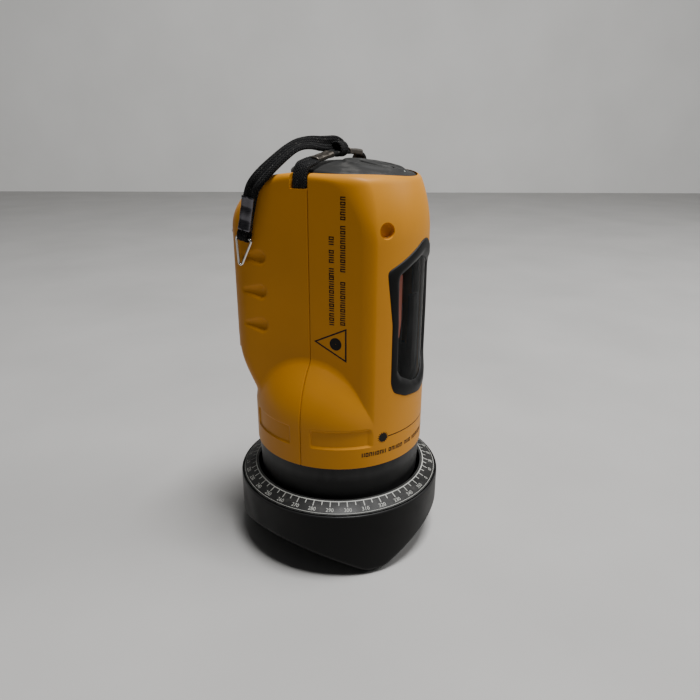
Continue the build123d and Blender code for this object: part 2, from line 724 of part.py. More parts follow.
with BuildPart() as gimbal_bracket:
    add(block((-26.3, PIVOT.Y - 15, BRACKET_Z), (26.3, PIVOT.Y + 15, BRACKET_Z + 2.4)))
    for side in (-1, 1):
        low_y, high_y = sorted((PIVOT.Y + side * EAR_Y0, PIVOT.Y + side * EAR_Y1))
        add(block((-5.5, low_y, PIVOT.Z - 5), (5.5, high_y, BRACKET_Z)))
        add(rod(*along_y(side * (EAR_Y0 - 1), side * (EAR_Y1 + 1)), BEARING_R), mode=Mode.SUBTRACT)
        for screw_y in BRACKET_SCREW_Y:
            add(rod((side * 15, screw_y, 150), (side * 15, screw_y, 162), 1.2), mode=Mode.SUBTRACT)

with BuildPart() as bracket_screws:
    for side in (-1, 1):
        for screw_y in BRACKET_SCREW_Y:
            head_at = Vector(side * 15, screw_y, BRACKET_Z - 2.0)
            add(socket_screw(head_at, head_at + Vector(0, 0, 7.4), 1.2, 2.4, 2.0))

with BuildPart() as roll_bearings:
    for side in (-1, 1):
        add(rod(*along_y(side * EAR_Y0, side * EAR_Y1), BEARING_R))
        add(rod(*along_y(side * (EAR_Y0 - 1), side * (EAR_Y1 + 1)), PIN_R + RUNNING), mode=Mode.SUBTRACT)

with BuildPart() as gimbal_ring:
    with BuildSketch(Plane.XY.offset(PIVOT.Z - RING_H / 2)):
        with Locations((PIVOT.X, PIVOT.Y)):
            Circle(RING_OUT)
            Circle(RING_IN, mode=Mode.SUBTRACT)
    extrude(amount=RING_H)
    for side in (-1, 1):
        add(rod(*along_y(side * (RING_IN - 1), side * (RING_OUT + 1)), PIN_R), mode=Mode.SUBTRACT)
        add(rod(*along_x(side * (RING_IN - 1), side * (RING_OUT + 1)), PIN_R), mode=Mode.SUBTRACT)

with BuildPart() as roll_pins:
    for side in (-1, 1):
        add(rod(*along_y(side * (RING_IN + 0.2), side * (EAR_Y1 - 0.1)), PIN_R))

with BuildPart() as pitch_pins:
    for side in (-1, 1):
        add(rod(*along_x(side * 2.6, side * (RING_OUT - 0.3)), PIN_R))

HEAD_TOP_Z, HEAD_LOW_Z = 127.0, 90.0

with BuildPart() as pendulum_frame:
    add(block((-YOKE_X, PIVOT.Y - 5, PIVOT.Z - 7), (YOKE_X, PIVOT.Y + 5, PIVOT.Z + 5)))
    add(block((-4, PIVOT.Y - 4, HEAD_TOP_Z - 1), (4, PIVOT.Y + 4, PIVOT.Z - 6.5)))
    add(block((-9, -18, HEAD_LOW_Z), (9, 6, HEAD_TOP_Z)))
    add(rod((0, PIVOT.Y, 84), (0, PIVOT.Y, HEAD_LOW_Z + 1), 3))
    for barrel_z in (117, 101):
        add(rod((0, -20, barrel_z), (0, 8, barrel_z), 6.0), mode=Mode.SUBTRACT)
    for side in (-1, 1):
        add(rod(*along_x(side * 2.4, side * (YOKE_X + 1)), BEARING_R), mode=Mode.SUBTRACT)

with BuildPart() as pitch_bearings:
    for side in (-1, 1):
        add(rod(*along_x(side * 2.4, side * YOKE_X), BEARING_R))
        add(rod(*along_x(side * 2.0, side * (YOKE_X + 1)), PIN_R + RUNNING), mode=Mode.SUBTRACT)


def laser_module(barrel_z):
    """Brass barrel with a clear bore for its line lens at the front."""
    with BuildPart() as module:
        add(rod((0, -22, barrel_z), (0, 7, barrel_z), 6.0))
        add(rod((0, -23, barrel_z), (0, -17, barrel_z), 4.5), mode=Mode.SUBTRACT)
        add(rod((0, -18, barrel_z), (0, -10, barrel_z), 2.0), mode=Mode.SUBTRACT)
        fillet(module.edges().group_by(Axis.Y)[-1], 0.8)
    return module.part


with BuildPart() as level_laser:
    add(laser_module(117))

with BuildPart() as plumb_laser:
    add(laser_module(101))

with BuildPart() as line_lenses:
    add(rod((0, -20, 117 - 4.2), (0, -20, 117 + 4.2), 1.4))
    add(rod((-4.2, -20, 101), (4.2, -20, 101), 1.4))

with BuildPart() as counterweight:
    with BuildSketch(Plane.XY.offset(74)):
        with Locations((0, PIVOT.Y)):
            Circle(9)
    extrude(amount=10)
    chamfer(counterweight.edges().group_by(Axis.Z)[0], 1)

with BuildPart() as magnet_holder:
    with BuildSketch(Plane.XY.offset(60)):
        Rectangle(60, 16)
    extrude(amount=3)
    with BuildSketch(Plane.XY.offset(63)):
        Circle(13)
        Circle(11, mode=Mode.SUBTRACT)
    extrude(amount=4)
    add(INNER, mode=Mode.INTERSECT)

with BuildPart() as damping_magnets:
    with BuildSketch(Plane.XY.offset(63)):
        with GridLocations(9.6, 9.6, 2, 2):
            Circle(4.0)
    extrude(amount=5)

# ---- wrist strap --------------------------------------------------------------------
FERRULE_L, FERRULE_W, FERRULE_T = 14.8, 6.4, 3.6


def soft_block(middle, x_dir, z_dir, size, radius):
    """Box with rounded edges, turned to lie along two directions."""
    with BuildPart() as soft:
        Box(*size)
        fillet(soft.edges(), radius)
    return Plane(origin=middle, x_dir=x_dir, z_dir=z_dir) * soft.part


def ferrule(start, end, length, across):
    """Crimped sleeve centred on a straight run of the strap, its width lying along across."""
    run = (Vector(end) - Vector(start)).normalized()
    middle = (Vector(start) + Vector(end)) * 0.5
    side = (Vector(across) - run * run.dot(Vector(across))).normalized()
    return soft_block(middle, side, run, (FERRULE_W, FERRULE_T, length), 1.0)


with BuildPart() as strap_pins:
    for side in (-1, 1):
        add(rod((side * PIN_X, -1.8, PIN_Z), (side * PIN_X, 9.6, PIN_Z), 1.1))

with BuildPart() as cross_strap:
    add(cord_tube(CROSS_ROUTE, STRAP_R))

with BuildPart() as main_strap:
    add(cord_tube(MAIN_ROUTE, STRAP_R))

with BuildPart() as strap_knot:
    add(soft_block((-1.2, -0.6, 179.7), (1, 0, 0), (0, 0, 1), (6.0, 6.0, 5.6), 1.2))
    add(cross_strap.part, mode=Mode.SUBTRACT)

with BuildPart() as cross_ferrules:
    add(ferrule(CROSS_ROUTE[2], CROSS_ROUTE[3], 11.5, (0.15, -1, 0)))
    add(ferrule(CROSS_ROUTE[4], CROSS_ROUTE[5], 11.0, (-0.09, -1, 0)))
    add(cross_strap.part, mode=Mode.SUBTRACT)

STRAP_END = Vector(MAIN_ROUTE[-1])
STRAP_RUN = (STRAP_END - Vector(MAIN_ROUTE[-2])).normalized()
FERRULE_TOP = STRAP_END - STRAP_RUN * FERRULE_L

with BuildPart() as strap_ferrule:
    add(ferrule(FERRULE_TOP, STRAP_END, FERRULE_L, (0, 1, 0)))
    add(main_strap.part, mode=Mode.SUBTRACT)

RING_ACROSS = STRAP_RUN.cross(Vector(1, 0, 0)).normalized()  # along the ring's top bar
RING_AXIS_AT = STRAP_END + STRAP_RUN * 3.3
FOLD_L = 4.9

with BuildPart() as strap_fold:
    add(soft_block(STRAP_END + STRAP_RUN * (FOLD_L / 2), RING_ACROSS, STRAP_RUN, (5.4, 3.0, FOLD_L), 0.6))
    add(
        rod(RING_AXIS_AT - RING_ACROSS * 5, RING_AXIS_AT + RING_ACROSS * 5, RING_WIRE_R + RUNNING),
        mode=Mode.SUBTRACT,
    )

with BuildPart() as wire_ring:
    with BuildLine():
        ring_path = FilletPolyline(
            RING_AXIS_AT - RING_ACROSS * 3.9,
            RING_AXIS_AT + RING_ACROSS * 3.9,
            RING_AXIS_AT + STRAP_RUN * 14.4,
            radius=1.0,
            close=True,
        )
    with BuildSketch(Plane(origin=ring_path @ 0, z_dir=ring_path % 0)):
        Circle(RING_WIRE_R)
    sweep()

# ---- pieces, in the order they come off a bench -------------------------------------
PIECES = {
    "base_housing": base_housing,
    "dial_ring": dial_ring,
    "base_cover": base_cover,
    "tripod_insert": tripod_insert,
    "cover_screws": cover_screws,
    "rubber_feet": rubber_feet,
    "pivot_bush": pivot_bush,
    "friction_washer": friction_washer,
    "swivel_collar": swivel_collar,
    "pivot_shaft": pivot_shaft,
    "shaft_nut": shaft_nut,
    "front_shell": front_shell,
    "rear_shell": rear_shell,
    "upper_shell_screws": upper_shell_screws,
    "lower_shell_screws": lower_shell_screws,
    "window_bezel": window_bezel,
    "window_lens": window_lens,
    "beam_hood": beam_hood,
    "top_pad": top_pad,
    "power_button": power_button,
    "status_lamp": status_lamp,
    "keypad_board": keypad_board,
    "tact_switch": tact_switch,
    "battery_tray": battery_tray,
    "battery_cells": battery_cells,
    "contact_springs": contact_springs,
    "contact_plates": contact_plates,
    "main_board": main_board,
    "board_screws": board_screws,
    "battery_door": battery_door,
    "door_hinge_rod": door_hinge_rod,
    "gimbal_bracket": gimbal_bracket,
    "bracket_screws": bracket_screws,
    "roll_bearings": roll_bearings,
    "gimbal_ring": gimbal_ring,
    "roll_pins": roll_pins,
    "pitch_pins": pitch_pins,
    "pendulum_frame": pendulum_frame,
    "pitch_bearings": pitch_bearings,
    "level_laser": level_laser,
    "plumb_laser": plumb_laser,
    "line_lenses": line_lenses,
    "counterweight": counterweight,
    "magnet_holder": magnet_holder,
    "damping_magnets": damping_magnets,
    "strap_pins": strap_pins,
    "cross_strap": cross_strap,
    "cross_ferrules": cross_ferrules,
    "strap_knot": strap_knot,
    "main_strap": main_strap,
    "strap_ferrule": strap_ferrule,
    "strap_fold": strap_fold,
    "wire_ring": wire_ring,
}

os.makedirs("parts", exist_ok=True)
for name, piece in PIECES.items():
    piece.part.label = name
    export_step(piece.part, f"parts/{name}.step")
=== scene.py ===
from math import atan2, copysign, cos, degrees, exp, hypot, pi, radians, sin, sqrt

import bmesh
import bpy
import numpy as np
from mathutils import Matrix, Vector


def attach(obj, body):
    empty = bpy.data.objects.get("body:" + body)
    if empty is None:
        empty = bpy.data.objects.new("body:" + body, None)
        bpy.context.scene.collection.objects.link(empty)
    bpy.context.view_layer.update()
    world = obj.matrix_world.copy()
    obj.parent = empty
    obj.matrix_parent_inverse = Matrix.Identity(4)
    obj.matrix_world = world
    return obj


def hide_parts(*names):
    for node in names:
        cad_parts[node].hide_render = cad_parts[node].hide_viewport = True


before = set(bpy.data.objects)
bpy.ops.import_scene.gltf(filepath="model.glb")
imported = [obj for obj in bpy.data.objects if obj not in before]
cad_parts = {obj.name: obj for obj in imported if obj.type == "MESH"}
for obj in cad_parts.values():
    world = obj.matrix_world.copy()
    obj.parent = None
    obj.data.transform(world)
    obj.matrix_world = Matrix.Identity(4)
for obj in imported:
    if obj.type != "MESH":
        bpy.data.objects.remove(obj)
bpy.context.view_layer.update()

MM = 0.001
FOOT_R, SHELL_Z, DOME_Z, TOP_Z = 39.4, 50.0, 68.0, 172.8
HALF_W, REAR_Y, CAP_Z = 28.8, 40.5, 146.0
WALL = 2.3
BASE_R, RIM_Z = 48.4, 32.0


# ---- materials
def new_material(name):
    mat = bpy.data.materials.new(name)
    mat.use_nodes = True
    return mat, mat.node_tree, mat.node_tree.nodes["Principled BSDF"]


def feed(node, values):
    """Set each input to its value, or link it where the value is another node's output."""
    for key, value in values.items():
        socket = node.inputs[key]
        if isinstance(value, bpy.types.NodeSocket):
            node.id_data.links.new(value, socket)
        else:
            socket.default_value = (*value, 1.0) if socket.type == "RGBA" else value


def new_node(tree, kind, values):
    made = tree.nodes.new("ShaderNode" + kind)
    feed(made, values)
    return made


def maths(tree, operation, *values):
    made = new_node(tree, "Math", dict(enumerate(values)))
    made.operation = operation
    return made.outputs[0]


def object_coords(tree, scale=(1, 1, 1)):
    coords = new_node(tree, "TexCoord", {}).outputs["Object"]
    return new_node(tree, "Mapping", {"Vector": coords, "Scale": scale}).outputs["Vector"]


def mix_colour(tree, factor, low, high):
    mix = tree.nodes.new("ShaderNodeMix")
    mix.data_type = "RGBA"
    first, second, result = 6, 7, 2  # the colour sockets of a node that also mixes other types
    feed(mix, {"Factor": factor, first: low, second: high})
    return mix.outputs[result]


def ramp(tree, factor, from_low, from_high, low=0, high=1):
    ends = {"From Min": from_low, "From Max": from_high, "To Min": low, "To Max": high}
    return new_node(tree, "MapRange", {"Value": factor, **ends}).outputs["Result"]


def noise(tree, vector, scale, detail=3.0, roughness=0.5):
    values = {"Vector": vector, "Scale": scale, "Detail": detail, "Roughness": roughness}
    return new_node(tree, "TexNoise", values).outputs["Fac"]


def bump(tree, height, shader, strength, distance):
    made = new_node(tree, "Bump", {"Height": height, "Strength": strength, "Distance": distance})
    feed(shader, {"Normal": made.outputs["Normal"]})


def plastic(
    name, colour, rough, grain=0.00003, grain_scale=2600,
    wear=0.12, dust=None, rough_spread=0.1, spec=0.5, edge_rub_highlight=1.25,
):
    """Moulded plastic: fine spark-erosion grain, faint blotches, convex edges lightened as rubbed wear and
    painted highlight, and optional dust.
    """
    mat, tree, shader = new_material(name)
    coords = object_coords(tree)
    dark = tuple(c * (1 - wear) for c in colour)
    light = tuple(min(1, c * (1 + wear * 0.6)) for c in colour)
    base = mix_colour(tree, ramp(tree, noise(tree, coords, 28, 4), 0.35, 0.68), dark, light)
    # convex edges (high pointiness) are lightened: partly rubbed wear, partly a painted edge highlight
    pointiness = new_node(tree, "NewGeometry", {}).outputs["Pointiness"]
    rubbed_and_highlit = tuple(min(1, c * edge_rub_highlight + (edge_rub_highlight - 1) * 0.08) for c in colour)
    base = mix_colour(tree, ramp(tree, pointiness, 0.515, 0.56), base, rubbed_and_highlit)
    if dust:
        specks = ramp(tree, noise(tree, coords, 95, 6, 0.7), 0.5, 0.8)
        base = mix_colour(tree, maths(tree, "MULTIPLY", specks, dust), base, (0.55, 0.53, 0.5))
    gloss = ramp(tree, noise(tree, coords, 60, 5), 0.3, 0.7, rough - rough_spread, rough + rough_spread)
    feed(shader, {"Base Color": base, "Roughness": gloss, "Specular IOR Level": spec})
    bump(tree, noise(tree, coords, grain_scale, 2), shader, 0.35, grain)
    return mat


def metal(name, colour, rough, brushed=0.0, stretch=(1, 1, 14)):
    """Metal with fine streaks that lie across the axis with the largest stretch."""
    mat, tree, shader = new_material(name)
    streak = noise(tree, object_coords(tree, stretch), 420, 3)
    tone = mix_colour(tree, ramp(tree, streak, 0.3, 0.7), tuple(c * 0.8 for c in colour), colour)
    gloss = ramp(tree, streak, 0.3, 0.7, rough * 0.8, rough * 1.3)
    feed(shader, {"Base Color": tone, "Metallic": 1.0, "Roughness": gloss})
    if brushed:
        bump(tree, streak, shader, brushed, 0.00004)
    return mat


def clear(name, colour, rough=0.03, alpha=0.25, spec=0.5):
    """See-through plastic or glass with faint smudges."""
    mat, tree, shader = new_material(name)
    smudge = noise(tree, object_coords(tree), 70, 4)
    tone = mix_colour(tree, ramp(tree, smudge, 0.3, 0.8), colour, tuple(c * 1.6 for c in colour))
    gloss = ramp(tree, smudge, 0.35, 0.75, rough, rough + 0.12)
    feed(shader, {"Base Color": tone, "Roughness": gloss})
    feed(shader, {"Alpha": alpha, "IOR": 1.49, "Specular IOR Level": spec})
    return mat


def woven(name, dark, light):
    """Ribbed braid: U runs across the tape, V along it, both in millimetres."""
    mat, tree, shader = new_material(name)
    uv = new_node(tree, "UVMap", {}).outputs["UV"]
    split = new_node(tree, "SeparateXYZ", {0: uv})
    across = maths(tree, "MULTIPLY", split.outputs["X"], 5.4)
    along = maths(tree, "MULTIPLY", split.outputs["Y"], 6.2)
    up = maths(tree, "SINE", maths(tree, "ADD", along, across))
    down = maths(tree, "SINE", maths(tree, "SUBTRACT", along, across))
    rib = maths(tree, "MULTIPLY", maths(tree, "SINE", across), 0.6)
    height = maths(tree, "ADD", maths(tree, "MAXIMUM", up, down), rib)
    fleck = ramp(tree, noise(tree, object_coords(tree), 1500, 2, 0.6), 0.6, 0.8)
    # the braid's colour is darkened where the weave sits low: painted shade in its hollows; light flecks
    # show only on the raised threads
    braid_with_painted_shade = mix_colour(tree, ramp(tree, height, -0.6, 1.5), tuple(c * 0.35 for c in dark), dark)
    raised = maths(tree, "MAXIMUM", height, 0.0)
    braid_with_painted_shade = mix_colour(tree, maths(tree, "MULTIPLY", fleck, raised), braid_with_painted_shade, light)
    feed(shader, {"Base Color": braid_with_painted_shade, "Roughness": 0.85, "Specular IOR Level": 0.2})
    feed(shader, {"Sheen Weight": 0.03, "Sheen Roughness": 0.4})
    bump(tree, height, shader, 0.9, 0.00025)
    return mat


YELLOW = plastic(
    "shell_yellow", (0.53, 0.215, 0.010), 0.45, 0.000022, 1900,
    wear=0.05, rough_spread=0.05, spec=0.18, edge_rub_highlight=1.0,
)
BASE_BLACK = plastic("base_black", (0.003, 0.003, 0.0028), 0.4, grain_scale=1800, wear=0.1, spec=0.12)
DIAL_BLACK = plastic("dial_black", (0.009, 0.009, 0.0085), 0.50, 0.00002, wear=0.2, dust=0.07, spec=0.25)
BLACK = plastic("satin_black", (0.005, 0.005, 0.005), 0.42, wear=0.1, spec=0.25)
BEZEL_BLACK = plastic("bezel_black", (0.003, 0.003, 0.003), 0.45, wear=0.1, spec=0.12)
HOOD_BLACK = plastic("hood_black", (0.006, 0.0065, 0.007), 0.5, wear=0.2, dust=0.05, spec=0.15)
PAD_BLACK = plastic("pad_rubber", (0.011, 0.011, 0.0105), 0.62, 0.00004, 1500, wear=0.2, dust=0.14, spec=0.3)
RUBBER = plastic("foot_rubber", (0.02, 0.02, 0.02), 0.8, 0.00005, 1200, wear=0.2, dust=0.1)
BOARD = plastic("board_green", (0.012, 0.10, 0.035), 0.35, grain=0.00002, wear=0.3)
CELL = plastic("cell_sleeve", (0.03, 0.035, 0.05), 0.25, wear=0.1)
STEEL = metal("bright_steel", (0.55, 0.55, 0.56), 0.24)
FERRULE = metal("crimped_steel", (0.13, 0.125, 0.14), 0.28, brushed=0.15)
FERRULE_WARM = metal("worn_ferrule", (0.12, 0.105, 0.09), 0.4, brushed=0.15)
RING_STEEL = metal("ring_wire", (0.75, 0.73, 0.68), 0.16)
ALLOY = metal("cast_alloy", (0.60, 0.61, 0.63), 0.42, brushed=0.2, stretch=(1, 1, 1))
BRASS = metal("turned_brass", (0.62, 0.42, 0.16), 0.28, stretch=(1, 6, 1))
LENS = clear("window_clear", (0.004, 0.0045, 0.0045), 0.04, 0.42, 0.05)
# the yellow shell's inner wall inside the window, coloured a darker salmon as painted shade
SHADED_WALL_TONE = plastic("inner_wall_painted_shade", (0.42, 0.10, 0.055), 0.5, wear=0.1)
OPTIC = clear("optic_clear", (0.5, 0.55, 0.6), 0.02, 0.35)
LAMP = clear("lamp_clear", (0.35, 0.38, 0.34), 0.2, 0.8)
STRAP = woven("strap_braid", (0.005, 0.005, 0.0055), (0.20, 0.19, 0.17))
PRINT_WHITE = plastic("print_white", (0.38, 0.38, 0.35), 0.6, wear=0.35, grain=0.00001)
PRINT_BLACK = plastic("print_black", (0.006, 0.005, 0.004), 0.55, wear=0.3, grain=0.00001, spec=0.2, edge_rub_highlight=1.0)


def dress(obj, *materials):
    obj.data.materials.clear()
    for mat in materials:
        obj.data.materials.append(mat)


# ---- mesh helpers
def full_turn(count):
    return np.linspace(0, 2 * np.pi, count, endpoint=False)


def linked(name, data):
    obj = bpy.data.objects.new(name, data)
    bpy.context.scene.collection.objects.link(obj)
    return obj


def evaluated_mesh(obj):
    return bpy.data.meshes.new_from_object(obj.evaluated_get(bpy.context.evaluated_depsgraph_get()))


def curve_shape(curve):
    """Points and faces that a curve makes; the curve itself is dropped."""
    holder = linked(curve.name, curve)
    mesh = evaluated_mesh(holder)
    shape = [tuple(v.co) for v in mesh.vertices], [tuple(p.vertices) for p in mesh.polygons]
    bpy.data.objects.remove(holder)
    bpy.data.curves.remove(curve)
    bpy.data.meshes.remove(mesh)
    return shape


def set_uv(obj, uvs):
    layer = obj.data.uv_layers.new(name="UVMap")
    for loop in obj.data.loops:
        layer.data[loop.index].uv = uvs[loop.vertex_index]


def finish_mesh(obj, sharp=38):
    mesh = obj.data
    mesh.polygons.foreach_set("use_smooth", [True] * len(mesh.polygons))
    mesh.set_sharp_from_angle(angle=radians(sharp))
    mesh.update()


def make_object(name, points, faces, material=None, sharp=38):
    """Object from points in millimetres in the part's frame."""
    mesh = bpy.data.meshes.new(name)
    mesh.from_pydata((np.asarray(points, float) * MM).tolist(), [], [list(map(int, f)) for f in faces])
    mesh.validate()
    obj = linked(name, mesh)
    finish_mesh(obj, sharp)
    if material:
        dress(obj, material)
    return obj


def place(obj, body, slot, *nodes):
    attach(obj, body)
    if nodes:
        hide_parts(*nodes)
    return obj


def grid_faces(rows, columns, wrap_columns=False, wrap_rows=False, start=0):
    faces = []
    for r in range(rows if wrap_rows else rows - 1):
        for c in range(columns if wrap_columns else columns - 1):
            r1, c1 = (r + 1) % rows, (c + 1) % columns
            low, high = start + r * columns, start + r1 * columns
            faces.append((low + c, low + c1, high + c1, high + c))
    return faces


def lathe(name, profile, material, segments, sharp):
    """Ring swept about the turning axis from an (r, z) outline that runs anticlockwise."""
    points = [(r * cos(a), r * sin(a), z) for a in full_turn(segments) for r, z in profile]
    faces = grid_faces(segments, len(profile), wrap_columns=True, wrap_rows=True)
    return make_object(name, points, faces, material, sharp)


def box_object(low, high):
    x, y, z = zip(low, high)
    points = [(i, j, k) for i in x for j in y for k in z]
    faces = [(0, 1, 3, 2), (4, 6, 7, 5), (0, 4, 5, 1), (2, 3, 7, 6), (0, 2, 6, 4), (1, 5, 7, 3)]
    return make_object("cutter", points, faces)


def prism_object(outline, axis, low, high):
    """Prism on a 2-D outline; axis 'y' extrudes an (x, z) outline and axis 'z' an (x, y) one."""
    count = len(outline)
    points = []
    for level in (low, high):
        for a, b in outline:
            points.append((a, level, b) if axis == "y" else (a, b, level))
    faces = [tuple(range(count)), tuple(range(2 * count - 1, count - 1, -1))]
    for i in range(count):
        j = (i + 1) % count
        faces.append((i, i + count, j + count, j))
    return fix_normals(make_object("cutter", points, faces))


def fix_normals(obj):
    bm = bmesh.new()
    bm.from_mesh(obj.data)
    bmesh.ops.recalc_face_normals(bm, faces=bm.faces)
    bm.to_mesh(obj.data)
    bm.free()
    return obj


def turned(points_rz, centre, direction, segments=64):
    """Solid of revolution about a line: points_rz are (radius, distance along the line)."""
    z_axis = Vector(direction).normalized()
    x_axis = z_axis.orthogonal().normalized()
    y_axis = z_axis.cross(x_axis)
    points, count = [], len(points_rz)
    for a in full_turn(segments):
        for r, t in points_rz:
            p = Vector(centre) + z_axis * t + (x_axis * cos(a) + y_axis * sin(a)) * r
            points.append(tuple(p))
    faces = grid_faces(segments, count, wrap_rows=True)
    faces.append(tuple(i * count for i in range(segments)))
    faces.append(tuple(i * count + count - 1 for i in reversed(range(segments))))
    return fix_normals(make_object("cutter", points, faces))


def boolean(target, operation, cutters):
    for cutter in cutters:
        mod = target.modifiers.new("cut", "BOOLEAN")
        mod.operation = operation
        mod.solver = "MANIFOLD"
        mod.object = cutter
        mesh = evaluated_mesh(target)
        target.modifiers.clear()
        old = target.data
        target.data = mesh
        bpy.data.meshes.remove(old)


def drop(objects):
    for obj in objects:
        mesh = obj.data
        bpy.data.objects.remove(obj)
        bpy.data.meshes.remove(mesh)


# ---- the head's form
def round_max(a, b, r):
    """What both forms share, with a round of radius r where they meet."""
    return np.minimum(-r, np.maximum(a, b)) + np.hypot(np.maximum(r + a, 0), np.maximum(r + b, 0))


def round_min(a, b, r):
    """Both forms joined, with a fillet of radius r where they meet."""
    return np.maximum(r, np.minimum(a, b)) - np.hypot(np.maximum(r - a, 0), np.maximum(r - b, 0))


def step(low, high, value):
    t = np.clip((value - low) / (high - low), 0, 1)
    return t * t * (3 - 2 * t)


def cap_profile(rho, z):
    """Distance outside the front's lean-back profile."""
    lean, turn, brow = 62.0, radians(21.2), 6.9
    c1 = np.array((FOOT_R - lean, CAP_Z))
    c2 = c1 + (lean - brow) * np.array((cos(turn), sin(turn)))
    angle = np.arctan2(z - c1[1], rho - c1[0])
    out = np.where(z < CAP_Z, rho - FOOT_R, np.hypot(rho - c1[0], z - c1[1]) - lean)
    on_brow = (z > CAP_Z) & (angle > turn)
    brow_d = np.where(rho > c2[0], np.hypot(rho - c2[0], z - c2[1]) - brow, z - c2[1] - brow)
    return np.where(on_brow, brow_d, out)


def rear_profile(y, z):
    """Distance outside the rear's outline seen from the side."""
    big, small, turn = 46.7, 18.2, radians(40)  # the crown's two rounds and where they meet
    ca = np.array((4.0, TOP_Z - big))
    cb = ca + (big - small) * np.array((sin(turn), cos(turn)))
    angle = np.arctan2(y - ca[0], z - ca[1])
    top_big, top_small = np.hypot(y - ca[0], z - ca[1]) - big, np.hypot(y - cb[0], z - cb[1]) - small
    top = np.where(angle < turn, top_big, top_small)
    top = np.where(y < ca[0], z - TOP_Z, top)
    rear = np.where((z > cb[1]) | (angle < turn), top, y - REAR_Y)
    slant = ((y - REAR_Y) * 19 - (z - 90) * 8.5) / 20.81
    return round_max(rear, slant, 7.0)


def rounded_box_2d(s, z, s0, s1, z0, z1, r):
    ds, dz = np.abs(s - (s0 + s1) / 2) - (s1 - s0) / 2 + r, np.abs(z - (z0 + z1) / 2) - (z1 - z0) / 2 + r
    return np.hypot(np.maximum(ds, 0), np.maximum(dz, 0)) + np.minimum(np.maximum(ds, dz), 0) - r


# foot panels: low and high edge, depth; finger scoops: heights, start and run along y
PANEL_LOW, PANEL_HIGH, PANEL_DEEP = 59.8, 67.7, 0.65
SCOOP_Z, SCOOP_Y, SCOOP_RUN = (137.5, 122.7, 107.9), 23.6, 7.4


def head_distance(p, detail=True):
    """Signed distance to the head; detail adds the foot's sunk panels and the finger scoops."""
    x, y, z = p[..., 0], p[..., 1], p[..., 2]
    rho = np.hypot(x, y)
    front = np.where(y < 0, cap_profile(rho, z), cap_profile(np.abs(x), z))
    edge = 2.4 + 1.6 * step(150, 168, z) * step(2, -14, y)
    slab = round_max(np.abs(x) - HALF_W, front, edge)
    corner = 10 - 6.5 * step(138, 166, z) * step(36, 15, y)
    slab = round_max(slab, rear_profile(y, z), corner)
    slab = round_max(slab, (rho - FOOT_R - (z - 76) * 0.45) * 0.91 - 40 * step(-2, -8, y), 2.0)
    foot = np.where(z < DOME_Z, rho - FOOT_R, np.sqrt(rho**2 + (z - DOME_Z) ** 2) - FOOT_R)
    if detail:
        alpha = np.degrees(np.arctan2(np.abs(x), -y))
        arc = np.radians(alpha) * FOOT_R
        slanted = np.radians(41 + (z - PANEL_LOW) * 0.5) * FOOT_R
        front_end = np.radians(83) * FOOT_R - slanted
        panel = rounded_box_2d(arc - slanted, z, 0, front_end, PANEL_LOW, PANEL_HIGH, 1.0)
        rear_ends = np.radians((98, 135)) * FOOT_R
        panel = np.minimum(panel, rounded_box_2d(arc, z, *rear_ends, 59.2, PANEL_HIGH, 1.0))
        foot = foot + PANEL_DEEP * step(0.35, -0.35, panel)
    head = round_min(slab, foot, 0.01 + 1.1 * step(-24, -12, y))
    if detail:
        t = np.clip((y - SCOOP_Y) / SCOOP_RUN, 0, 1)
        away, spine_y = HALF_W + 3.3 - 2.1 * t, SCOOP_Y + t * SCOOP_RUN
        for centre_z in SCOOP_Z:
            spine = np.sqrt((np.abs(x) - away) ** 2 + (y - spine_y) ** 2 + (z - centre_z) ** 2)
            scoop = spine - (4.7 - 2.9 * t)
            head = round_max(head, -scoop, 0.4)
    return head


def march(origins, directions, distance, shift, reach=75.0):
    """Where rays that start inside leave the form grown by shift, by halving."""
    low = np.zeros(origins.shape[:-1])
    high = np.full(origins.shape[:-1], reach)
    for _ in range(26):
        middle = (low + high) / 2
        inside = distance(origins + directions * middle[..., None]) < shift
        low, high = np.where(inside, middle, low), np.where(inside, high, middle)
    return origins + directions * ((low + high) / 2)[..., None]


def gradient(distance, points):
    """Unit normals of a distance field."""
    out = np.zeros_like(points)
    for axis in range(3):
        shift = np.zeros(3)
        shift[axis] = 0.05
        out[..., axis] = distance(points + shift) - distance(points - shift)
    return out / np.linalg.norm(out, axis=-1, keepdims=True)


FAN_Z = 143.0  # where the rays of the crest start


def head_rays(angles, heights, fan):
    """Level rays from the axis, then rays that fan up to the crest."""
    rows = [(z, 0.0) for z in heights] + [(FAN_Z, up) for up in fan]
    origins = [[(0, 0, z)] * len(angles) for z, _ in rows]
    directions = []
    for _, up in rows:
        flat = cos(up)
        directions.append([(cos(a) * flat, sin(a) * flat, sin(up)) for a in angles])
    return np.array(origins, float), np.array(directions, float)


def spread_angles(start, end, count, focus, gain):
    """Angles from start to end, closer together near the focus angles."""
    fine = np.linspace(start, end, 4000)
    density = np.ones_like(fine)
    for at in focus:
        density += gain * np.exp(-(((fine - at) / radians(6)) ** 2))
    total = np.concatenate(([0], np.cumsum((density[1:] + density[:-1]) / 2)))
    return np.interp(np.linspace(0, total[-1], count), total, fine)


SEAM_GAP, SEAM_ROUND = 0.09, 0.42


